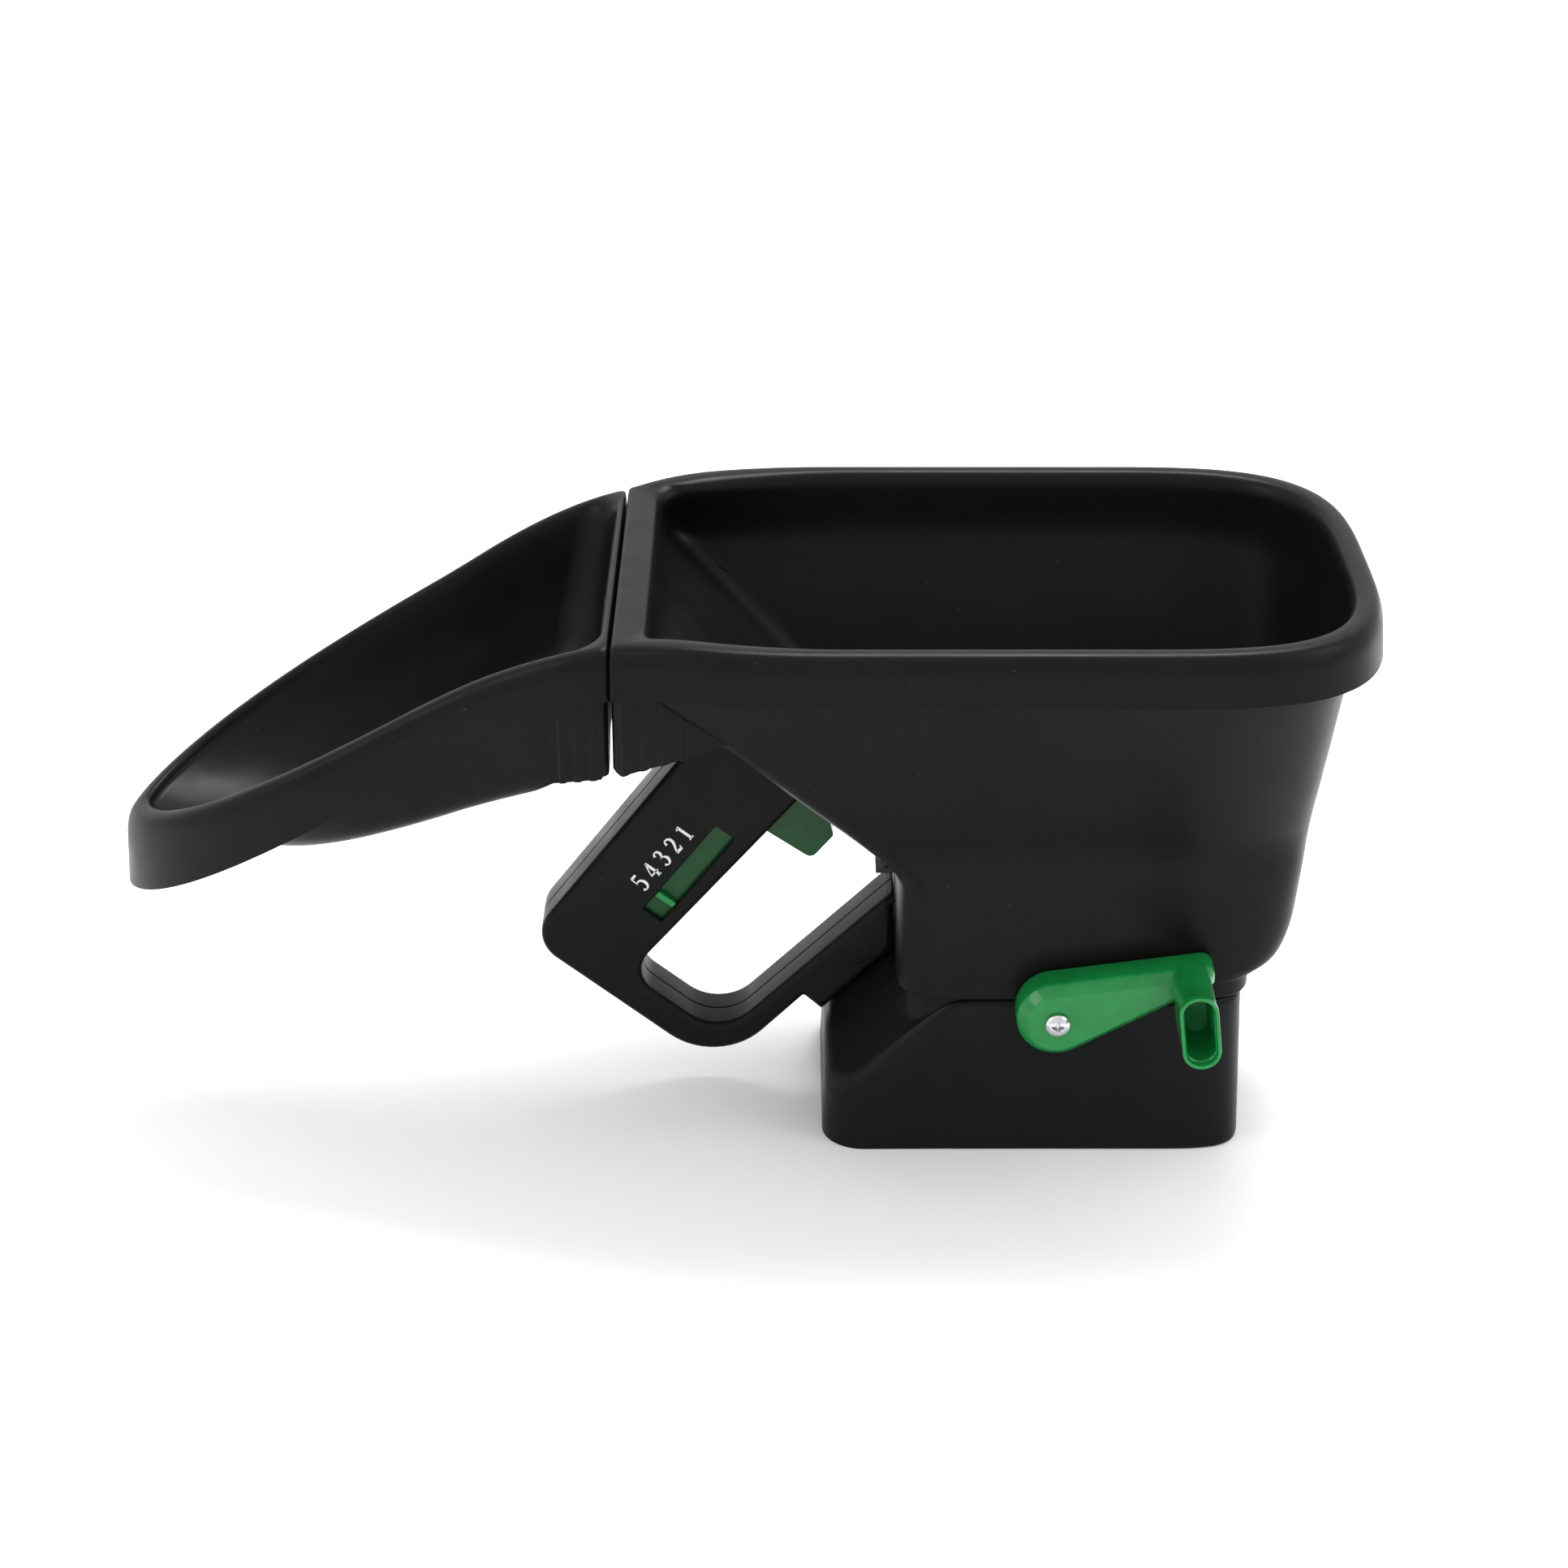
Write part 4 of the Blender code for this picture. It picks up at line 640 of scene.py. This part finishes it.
def arm_flange():
    """The flange that closes the trough's end, with ribbed cheeks folded back along its sides."""
    turn = np.linspace(0, np.pi / 2, 9)[1:]
    x = np.linspace(-72.0, -52.0, 90)
    near = np.column_stack([x, -80.5 - (x + 72.0) * 0.07 - ribbing(x, -66.3, 6.0, 3, 1.2, 0.9)])
    corner = np.column_stack([-52.0 + 3.6 * np.sin(turn), -78.4 - 3.6 * np.cos(turn)])
    across = np.column_stack([np.full(30, -48.4), np.linspace(-78.4, 0, 31)[1:]])
    path = np.vstack([near, corner, across])
    path = np.vstack([path, path[-2::-1] * [1, -1]])
    inner = np.column_stack([np.minimum(path[:, 0], -50.6), np.clip(path[:, 1], -78.4, 78.4)])
    reach = np.abs(path[:, 1])
    low = np.interp(reach, [0, 60, 70, 90], [198.5, 198.5, 188.5, 186.0])
    low = np.where((path[:, 0] < -51.0) & (reach > 70), 186.0 + (path[:, 0] + 51.0) * 0.12, low)
    high = 241.0 - rim_drop(path[:, 0]) - 9.0
    rows = [(inner, low), (path, low), (path, 0.5 * (low + high)), (path, high), (inner, high)]
    points = np.array([np.column_stack([plan, z]) for plan, z in rows])
    work = bmesh.new()
    add_grid(work, points, wrap_rows=True, wrap_cols=False)
    bmesh.ops.holes_fill(work, edges=work.edges)
    made = finished("arm_rest_flange", work, BLACK, "frame", 35.0)


# ---------------------------------------------------------------- handle

def grip_box(centre, along, wide, radius):
    """A rectangle laid along the grip, counter-clockwise, with round corners."""
    spots = [(-along, wide), (along, wide), (along, -wide), (-along, -wide)]
    corners = [(*(centre + GRIP * a / 2 + ACROSS * b / 2), radius) for a, b in spots]
    return rounded(corners, 5)


def parting_depth(outline):
    """How far each point of the handle's rim stops from the middle plane, open for trigger and lug."""
    depth = np.full(len(outline), 0.15)
    front = (outline - np.array([-46.1, 59.7])) @ ACROSS
    height = outline[:, 1]
    depth[(front > -1.5) & (height > 122.6) & (height < 157.0) & (outline[:, 0] > 4.0)] = 9.4
    top = (outline[:, 0] + outline[:, 1] > 188.0) & (outline[:, 0] > 1.5) & (outline[:, 0] < 20.0)
    depth[top] = 4.0
    return depth


def handle_half(name, side, node):
    """One hollow half of the D handle: rounded outer face, rim wall, and on the crank side a window."""
    outline = filled_in(rounded(HANDLE_CORNERS), 1.5)
    part = parting_depth(outline)
    face, plate = HANDLE_HALF, HANDLE_HALF - HANDLE_WALL
    rows = [(HANDLE_WALL, plate), (HANDLE_WALL, part), (0.4, part), (0.0, part + 0.45)]
    for turn in np.linspace(0, np.pi / 2, 8):
        rows.append((HANDLE_ROUND * (1 - math.cos(turn)), face - HANDLE_ROUND * (1 - math.sin(turn))))
    rows.append((HANDLE_ROUND + 0.4, face))
    points = np.array([upright(drawn_in(outline, inward), side * np.asarray(y)) for inward, y in rows])
    work = bmesh.new()
    add_grid(work, points)
    hole = grip_box(WINDOW_CENTRE, WINDOW_LONG, WINDOW_WIDE, 1.1) if side < 0 else None
    outer_hole = grip_box(WINDOW_CENTRE, WINDOW_LONG + 1.0, WINDOW_WIDE + 1.0, 1.5) if side < 0 else None
    add_cap(work, drawn_in(outline, HANDLE_WALL), lambda a, b: (a, side * plate, b), hole)
    add_cap(work, drawn_in(outline, HANDLE_ROUND + 0.4), lambda a, b: (a, side * face, b), outer_hole)
    if hole is not None:
        walls = [(outer_hole, face), (hole, face - 0.5), (hole, plate)]
        add_grid(work, np.array([upright(loop, side * y) for loop, y in walls]))
    made = finished(name, work, BLACK, "frame")
    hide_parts(node)


def plug():
    """The round plug over the leg screw, almost flush with the handle's face."""
    disc = [(0.0, 0.0), (6.4, 0.0), (6.7, 0.03), (6.9, 0.12), (7.0, 0.3), (7.0, 1.2), (0.0, 1.2)]
    spot = (LEG_SCREW[0], -HANDLE_HALF - 0.10, LEG_SCREW[1])
    made = turned("screw_plug", disc, spot, (0, 1, 0), BLACK, "frame", 64)
    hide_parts("handle_plug")


def slider():
    """The setting strip behind the window and the pointer ridge that stands up from it."""
    strip = grip_box(POINTER_AT + GRIP * 2.9, 77.8, 12.0, 1.0)
    # The strip takes the gloss green darkened as painted shade
    made = slab("setting_strip", strip, -10.9, -9.1, 0.3, GREEN_PAINTED_SHADE, "slider")
    ridge = slab("pointer_ridge", grip_box(POINTER_AT, 2.8, 9.2, 0.7), -13.7, -10.6, 0.5, GREEN, "slider")
    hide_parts("setting_slider")


def stroke(points, widths, smooth):
    """Edge points of a pen stroke: a smooth line through its points with a width at each."""
    points, widths = np.array(points, float), NUMERAL_WEIGHT * np.array(widths, float)
    if smooth:
        knots = np.arange(len(points))
        t = np.linspace(0, len(points) - 1, 9 * (len(points) - 1) + 1)
        k = np.clip(t.astype(int), 0, len(points) - 2)
        f = (t - k)[:, None]
        p0, p1 = points[np.maximum(k - 1, 0)], points[k]
        p2, p3 = points[k + 1], points[np.minimum(k + 2, len(points) - 1)]
        line = 0.5 * (2 * p1 + (p2 - p0) * f + (2 * p0 - 5 * p1 + 4 * p2 - p3) * f ** 2
                      + (3 * p1 - p0 - 3 * p2 + p3) * f ** 3)
        wide = np.interp(t, knots, widths)
    else:
        line, wide = points, widths
    run = np.gradient(line, axis=0)
    run /= np.linalg.norm(run, axis=1)[:, None]
    normal = np.column_stack([-run[:, 1], run[:, 0]]) * wide[:, None] / 2
    return line + normal, line - normal


NUMERALS = {
    "5": [([(0.13, 0.97), (0.46, 0.99)], [0.12, 0.10], False),
          ([(0.13, 1.0), (0.10, 0.55)], [0.05, 0.05], False),
          ([(0.09, 0.55), (0.22, 0.64), (0.40, 0.55), (0.46, 0.32), (0.36, 0.08), (0.18, 0.02), (0.06, 0.12)],
           [0.05, 0.06, 0.10, 0.13, 0.09, 0.05, 0.12], True)],
    "4": [([(0.37, 1.0), (0.02, 0.30)], [0.05, 0.05], False),
          ([(0.0, 0.28), (0.54, 0.28)], [0.07, 0.07], False),
          ([(0.38, 1.0), (0.38, 0.02)], [0.12, 0.12], False),
          ([(0.26, 0.02), (0.50, 0.02)], [0.05, 0.05], False)],
    "3": [([(0.07, 0.82), (0.18, 0.98), (0.36, 0.94), (0.40, 0.74), (0.30, 0.58), (0.18, 0.54)],
           [0.12, 0.05, 0.09, 0.12, 0.07, 0.04], True),
          ([(0.18, 0.54), (0.36, 0.50), (0.46, 0.30), (0.36, 0.06), (0.18, 0.01), (0.05, 0.14)],
           [0.04, 0.07, 0.13, 0.09, 0.05, 0.12], True)],
    "2": [([(0.07, 0.76), (0.13, 0.95), (0.29, 0.98), (0.43, 0.84), (0.40, 0.58), (0.20, 0.28), (0.06, 0.07)],
           [0.11, 0.06, 0.07, 0.12, 0.12, 0.08, 0.05], True),
          ([(0.05, 0.07), (0.46, 0.07)], [0.12, 0.12], False),
          ([(0.45, 0.05), (0.49, 0.24)], [0.05, 0.05], False)],
    "1": [([(0.28, 1.0), (0.28, 0.02)], [0.12, 0.12], False),
          ([(0.12, 0.02), (0.45, 0.02)], [0.05, 0.05], False),
          ([(0.10, 0.86), (0.28, 0.98)], [0.05, 0.07], False)],
}


def numerals():
    """The dial numbers 5 4 3 2 1, printed up the grip beside the window as thin raised ink."""
    work = bmesh.new()
    up = -ACROSS
    low, high = -HANDLE_HALF + 0.02, -HANDLE_HALF - 0.05
    for k, strokes in enumerate(NUMERALS.values()):
        centre = NUMERAL_FIRST + GRIP * NUMERAL_PITCH * k
        foot = centre - up * NUMERAL_HEIGHT / 2 - GRIP * 0.27 * NUMERAL_HEIGHT
        for points, widths, smooth in strokes:
            first, second = [foot + NUMERAL_HEIGHT * (edge[:, :1] * GRIP + edge[:, 1:] * up)
                             for edge in stroke(points, widths, smooth)]
            bar = ((first, low), (first, high), (second, high), (second, low))
            add_stroke(work, np.array([upright(edge, y) for edge, y in bar]))
    made = finished("dial_numerals", work, INK, "frame")


def add_stroke(work, rows):
    """Add one closed bar: a band of four edges with both ends filled."""
    begin = len(work.verts)
    add_grid(work, rows, wrap_rows=True, wrap_cols=False)
    work.verts.ensure_lookup_table()
    cols = rows.shape[1]
    for c in (0, cols - 1):
        work.faces.new([work.verts[begin + r * cols + c] for r in range(4)])


# ---------------------------------------------------------------- base

def low_of(a, b, blend):
    """Smooth minimum of two heights: 0.5 (a + b - sqrt((a - b)^2 + blend^2))."""
    return 0.5 * (a + b - np.sqrt((a - b) ** 2 + blend ** 2))


def roof(x, y, down=0.0):
    """Height of the base's top: flat, with a 45 degree seat on the left and two slopes beside it."""
    beyond = 0.5 * (np.abs(y) - SEAT_FLAT + np.sqrt((np.abs(y) - SEAT_FLAT) ** 2 + 9.0))
    slope = x + SEAT_RISE - ROOF_FALL * beyond + 0.3
    return low_of(slope - down * math.sqrt(2), BASE_TOP - down + 0.4, 5.0)


def base_plan(t, shrink, shift=0.0):
    """Plan of the base at a height share t, drawn in by shrink."""
    left = BASE_LEFT + shrink + t
    right = BASE_RIGHT - shrink - 2.4 * t
    half = BASE_HALF - shrink - 0.8 * t
    return d_outline(left + shift, right, half, half, BASE_CORNER - shrink, 7.0)


def base():
    """The base: drafted walls, rolled edge, seat and roof slopes, lip into the neck, hollow, side window."""
    edge = 4.5
    lip_plan = d_outline(NECK_LEFT + 2.8, NECK_RIGHT - 2.8, NECK_HALF - 2.8, NECK_HALF - 2.8, 15.2, 7.0)
    hole_plan = d_outline(NECK_LEFT + 5.4, NECK_RIGHT - 5.4, NECK_HALF - 5.4, NECK_HALF - 5.4, 13.0, 7.0)
    sill, head = WINDOW_SILL / (BASE_TOP - edge), WINDOW_HEAD / (BASE_TOP - edge)
    levels = np.array([0.011, 0.04, sill, 0.16, 0.3, 0.4, head, 0.6, 0.75, 0.9, 1.0])
    rings = []

    def wall(shrink, share, top):
        plan = base_plan(share, shrink)
        height = top(plan[:, 0], plan[:, 1])
        return np.column_stack([plan, share * height])

    outer_top = lambda x, y: roof(x, y) - edge
    inner_top = lambda x, y: roof(x, y, BASE_WALL) - 1.0
    rings.append(np.column_stack([base_plan(0, 0.7), np.zeros(len(lip_plan))]))
    rings.extend(wall(0.0, share, outer_top) for share in levels)
    top_plan = base_plan(1.0, 0.0)
    crest = outer_top(top_plan[:, 0], top_plan[:, 1])
    for turn in np.linspace(0, np.pi / 2, 8)[1:]:
        plan = base_plan(1.0, edge * (1 - math.cos(turn)))
        lift = roof(plan[:, 0], plan[:, 1]) - edge * (1 - math.sin(turn))
        share = math.sin(turn)
        rings.append(np.column_stack([plan, (1 - share) * (crest + edge * math.sin(turn)) + share * lift]))
    start = base_plan(1.0, edge)
    for share in np.linspace(0, 1, 12)[1:]:
        plan = start + (lip_plan - start) * share
        rings.append(np.column_stack([plan, roof(plan[:, 0], plan[:, 1])]))
    rings.extend(np.column_stack([lip_plan, np.full(len(lip_plan), z)]) for z in (74.0, LIP_TOP - 0.5))
    rings.extend(np.column_stack([hole_plan, np.full(len(lip_plan), z)]) for z in (LIP_TOP, 70.0))
    inner_start = base_plan(1.0, BASE_WALL)
    for share in np.linspace(0, 1, 8):
        plan = hole_plan + (inner_start - hole_plan) * share
        rings.append(np.column_stack([plan, roof(plan[:, 0], plan[:, 1], BASE_WALL)]))
    first_inner = len(rings)
    rings.extend(wall(BASE_WALL, share, inner_top) for share in levels[::-1])
    rings.append(np.column_stack([base_plan(0, BASE_WALL - 0.4), np.zeros(len(lip_plan))]))
    points = np.array(rings)
    open_cells = window_cells(points, len(levels), first_inner)
    work = bmesh.new()
    add_grid(work, points, wrap_rows=True, skip=open_cells)
    rim = [e for e in work.edges if e.is_boundary]
    bmesh.ops.bridge_loops(work, edges=rim)
    made = finished("base_shell", work, BLACK, "frame", 50.0)
    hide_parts("base_housing")


def window_cells(points, level_count, first_inner):
    """Cells of the base's two skins that the discharge window leaves out."""
    rows, cols = points.shape[:2]
    open_cells = np.zeros((rows, cols), bool)
    middle_y = 0.5 * (points[..., 1] + np.roll(points[..., 1], -1, axis=1))
    facing = (points[..., 0] > 190.0) & (np.abs(middle_y) < WINDOW_HALF)
    sill_row, head_row = 3, 7
    open_cells[sill_row:head_row] = facing[5]
    last = first_inner + level_count - 1
    open_cells[last - (head_row - 1):last - (sill_row - 1)] = facing[5]
    return open_cells


# ---------------------------------------------------------------- crank

def crank():
    """The crank arm: a tapering lever with a round hub, drafted sides and a broad sloped edge."""
    outline = filled_in(rounded(CRANK_CORNERS, 26), 2.0)
    across = 9.2 + (194.0 - outline[:, 0]) * 0.415
    slope = np.clip(0.30 * across, 2.0, 4.4)
    rows = [(1.0, HUB_BACK), (0.25, HUB_BACK - 0.25), (0.0, HUB_BACK - 1.0), (0.2, HUB_FRONT + 5.6)]
    for share in (0.04, 0.1, 0.2, 0.5, 0.8, 0.9, 0.96):
        rows.append((0.2 + slope * share, HUB_FRONT + 5.0 * (1 - share) ** 1.25))
    rows += [(0.2 + slope, HUB_FRONT), (0.6 + slope, HUB_FRONT)]
    points = np.array([upright(drawn_in(outline, inward), y) for inward, y in rows])
    work = bmesh.new()
    add_grid(work, points)
    add_cap(work, drawn_in(outline, rows[0][0]), lambda a, b: (a, HUB_BACK, b))
    add_cap(work, drawn_in(outline, rows[-1][0]), lambda a, b: (a, HUB_FRONT, b))
    made = finished("crank_arm", work, GREEN, "crank_unit", 30.0)
    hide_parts("crank")


def slot_outline(width, height, count=72):
    """A slot shape about the knob's centre, turned by its tilt, counter-clockwise."""
    radius = width / 2
    turn = np.linspace(0, 2 * np.pi, count, endpoint=False)
    x = radius * np.cos(turn)
    z = radius * np.sin(turn) + np.where(np.sin(turn) >= 0, 1, -1) * (height / 2 - radius)
    c, s = math.cos(KNOB_TILT), math.sin(KNOB_TILT)
    return np.column_stack([KNOB_CENTRE[0] + x * c - z * s, KNOB_CENTRE[1] + x * s + z * c])


def knob():
    """The hollow knob: a slot-shaped tube that swells to its arm end, with a rolled lip and a step inside."""
    width, height = KNOB_SIZE
    rows = [
        (-9.0, HUB_FRONT + 2.6), (0.0, HUB_FRONT + 2.6), (0.0, HUB_FRONT - 12.0), (0.0, KNOB_MOUTH + 3.2),
        (0.45, KNOB_MOUTH + 2.6), (0.45, KNOB_MOUTH + 0.5), (0.25, KNOB_MOUTH + 0.1), (-0.2, KNOB_MOUTH),
        (-2.1, KNOB_MOUTH), (-2.5, KNOB_MOUTH + 0.3), (-2.6, KNOB_MOUTH + 0.9), (-2.6, KNOB_MOUTH + 3.0),
        (-3.6, KNOB_MOUTH + 3.5), (-4.4, HUB_FRONT - 2.6), (-5.6, HUB_FRONT - 1.4), (-9.0, HUB_FRONT - 1.2),
    ]
    rings = []
    for grow, y in rows:
        rings.append(upright(slot_outline(width + grow, height + grow), y))
    for end, y in ((0, HUB_FRONT + 2.6), (-1, HUB_FRONT - 1.2)):
        flat = slot_outline(0.01, height - width)
        rings.insert(0 if end == 0 else len(rings), upright(flat, y))
    made = grid_piece("crank_knob", np.array(rings), GREEN, "crank_unit", sharp=32.0)


# ---------------------------------------------------------------- screws and small parts

def cross_recess(a, b, radius):
    """Depth of a cross-shaped recess: two tapered slots that meet in the middle."""
    reach, half = 0.52 * radius, 0.115 * radius

    def arm(u, v):
        across = np.clip((half - np.abs(v)) / (0.4 * half), 0, 1)
        return across * np.clip((reach - np.abs(u)) / (0.5 * reach), 0, 1)

    middle = np.clip((0.30 * radius - np.hypot(a, b)) / (0.12 * radius), 0, 1)
    return np.maximum(np.maximum(arm(a, b), arm(b, a)), middle)


def pan_screw(node, seat, axis, length, shank, radius, height, body):
    """A cross-recess pan head on a threaded shank, for a plain screw; axis points from head to tip."""
    axis = np.array(axis, float) / np.linalg.norm(axis)
    side = np.cross(axis, [0.0, 0.0, 1.0] if abs(axis[2]) < 0.9 else [1.0, 0.0, 0.0])
    side /= np.linalg.norm(side)
    other = np.cross(axis, side)
    turn = np.linspace(0, 2 * np.pi, 72, endpoint=False)
    radii = radius * np.concatenate([np.linspace(0.0, 0.6, 19), [0.7, 0.8, 0.88, 0.94, 0.98, 1.0]])
    a, b = radii[:, None] * np.cos(turn), radii[:, None] * np.sin(turn)
    dome = height * (1 - 0.62 * (radii / radius) ** 3.2)[:, None] - 0.75 * height * cross_recess(a, b, radius)
    rows = [(radii[k] * np.ones(72), dome[k] * np.ones(72)) for k in range(len(radii))]
    rows += [(np.full(72, radius), np.full(72, 0.02)), (np.full(72, shank), np.zeros(72))]
    for z in np.arange(0.6, length - shank, 0.35):
        rows.append((shank * (1 - 0.11 * (1 + np.cos(2 * np.pi * z / 1.4 + turn))), np.full(72, -z)))
    rows.append((np.zeros(72), np.full(72, -length)))
    grid = [np.array(seat) + r[:, None] * (np.cos(turn)[:, None] * side + np.sin(turn)[:, None] * other)
            - h[:, None] * axis for r, h in rows]
    made = grid_piece(node + "_look", np.array(grid), STEEL, body, sharp=45.0)
    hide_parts(node)


def screws():
    """Every cross-recess screw, by node, seat, axis, length, shank, head radius and head height."""
    pan_screw("crank_screw", (AXIS_X, HUB_FRONT - 0.3, CRANK_Z), (0, 1, 0), 14.0, 1.7, 5.0, 3.0, "crank_unit")
    handle_screws = (("foot", FOOT_SCREW, 11.3, -1, 18.0), ("tongue", TONGUE_SCREW, 11.3, -1, 18.0),
                     ("leg", LEG_SCREW, -10.3, 1, 17.0))
    for word, (x, z), y, way, length in handle_screws:
        pan_screw("handle_%s_screw" % word, (x, y, z), (0, way, 0), length, 1.4, 4.0, 2.2, "frame")
    pan_screw("spinner_screw", (AXIS_X, 0, 8.7), (0, 0, 1), 9.0, 1.4, 4.6, 2.2, "spinner_unit")
    for k, (x, y) in enumerate(BASE_SCREWS):
        pan_screw("base_screw_%d" % (k + 1), (x, y, 76.1), (0, 0, 1), 16.0, 1.4, 3.6, 2.2, "frame")
    for word, y in (("near", -1), ("far", 1)):
        arm_seat = (ARM_RIGHT - 6.6, 48.0 * y, 205.0)
        pan_screw("arm_rest_screw_" + word, arm_seat, (1, 0, 0), 18.0, 1.9, 4.0, 2.2, "frame")
        pan_screw("guide_screw_" + word, (118.0, 24.0 * y, 101.0), (0, 0, 1), 10.0, 1.2, 2.9, 1.6, "frame")
        pan_screw("bracket_screw_" + word, (AXIS_X, 48.0 * y, 33.5), (0, 0, -1), 7.6, 1.1, 3.0, 1.8, "frame")


LOOKS = {"black_plastic": BLACK, "green_plastic": GREEN, "gear_plastic": IVORY, "dark_plastic": DARK,
         "zinc_steel": STEEL, "brass_bush": BRASS}
# The trigger takes the gloss green darkened as painted shade; the gate plate takes the dark plastic
SHADED = {"trigger": GREEN_PAINTED_SHADE, "gate_plate": DARK}


def carried_over():
    """Detailed materials and fine edges on the parts that keep their engineering shape."""
    slots = {entry["node"]: entry["material_slot"] for entry in frame["record"]["subparts"]}
    for node, item in frame["nodes"].items():
        item.data.materials.clear()
        item.data.materials.append(SHADED.get(node, LOOKS[slots[node]]))
    soften = {"trigger": 0.9, "spinner_disc": 0.4, "gate_plate": 0.4, "gate_guide": 0.4, "gear_bracket": 0.4}
    for node, width in soften.items():
        step = frame["nodes"][node].modifiers.new("edges", "BEVEL")
        step.width = width * MM
        step.segments = 3
        step.limit_method = "ANGLE"
        step.angle_limit = math.radians(35)
        step.harden_normals = False


# ---------------------------------------------------------------- studio

def studio():
    """A pale floor, a large soft light overhead and two softer side lights."""
    made, nodes, links, shader = shader_of("floor_paper")
    paper = noise(nodes, links, 3.0, 2.0)
    links.new(ramp(nodes, links, paper, [(0.3, (0.86, 0.86, 0.86)), (0.7, (0.88, 0.88, 0.88))]),
              shader.inputs["Base Color"])
    shader.inputs["Roughness"].default_value = 0.9
    shader.inputs["Specular IOR Level"].default_value = 0.1
    mesh = bpy.data.meshes.new("studio_floor")
    mesh.from_pydata([(-9, -9, 0), (9, -9, 0), (9, 9, 0), (-9, 9, 0)], [], [(0, 1, 2, 3)])
    mesh.materials.append(made)
    floor = bpy.data.objects.new("studio_floor", mesh)
    bpy.context.scene.collection.objects.link(floor)
    world = bpy.data.worlds.new("studio_world")
    world.use_nodes = True
    world.node_tree.nodes["Background"].inputs["Color"].default_value = (1.0, 1.0, 1.0, 1.0)
    world.node_tree.nodes["Background"].inputs["Strength"].default_value = 1.15
    bpy.context.scene.world = world
    lights = [
        ("overhead_light", (0.25, 0.55, 1.8), (0.0, 0.0, 0.15), 0.8, 40.0),
        ("left_light", (-1.7, -0.8, 1.3), (0.0, 0.0, 0.15), 1.0, 9.0),
        ("right_light", (1.7, -0.6, 1.2), (0.05, 0.0, 0.15), 0.9, 9.0),
    ]
    for name, place, aim, size, power in lights:
        light = bpy.data.lights.new(name, "AREA")
        light.shape = "SQUARE"
        light.size = size
        light.energy = power
        lamp = bpy.data.objects.new(name, light)
        lamp.location = place
        lamp.rotation_euler = (Vector(aim) - Vector(place)).to_track_quat("-Z", "Y").to_euler()
        bpy.context.scene.collection.objects.link(lamp)
    bpy.context.scene.view_settings.view_transform = "Standard"


def camera():
    """The camera, 26.5 degrees above the level, square on to the crank side."""
    aim, rise, distance = Vector((0.0195, 0.0, 0.1433)), math.radians(26.5), 1.351
    lens = bpy.data.cameras.new("studio_camera")
    lens.lens = 74.5
    lens.sensor_width = 36.0
    made = bpy.data.objects.new("studio_camera", lens)
    made.location = aim + Vector((0.0, -math.cos(rise), math.sin(rise))) * distance
    made.rotation_euler = (aim - made.location).to_track_quat("-Z", "Y").to_euler()
    bpy.context.scene.collection.objects.link(made)
    bpy.context.scene.camera = made


hopper()
coupling()
hopper_fittings()
arm_rest()
arm_flange()
handle_half("handle_shell_near", -1, "handle_near")
handle_half("handle_shell_far", 1, "handle_far")
plug()
slider()
numerals()
base()
crank()
knob()
screws()
carried_over()
studio()
camera()
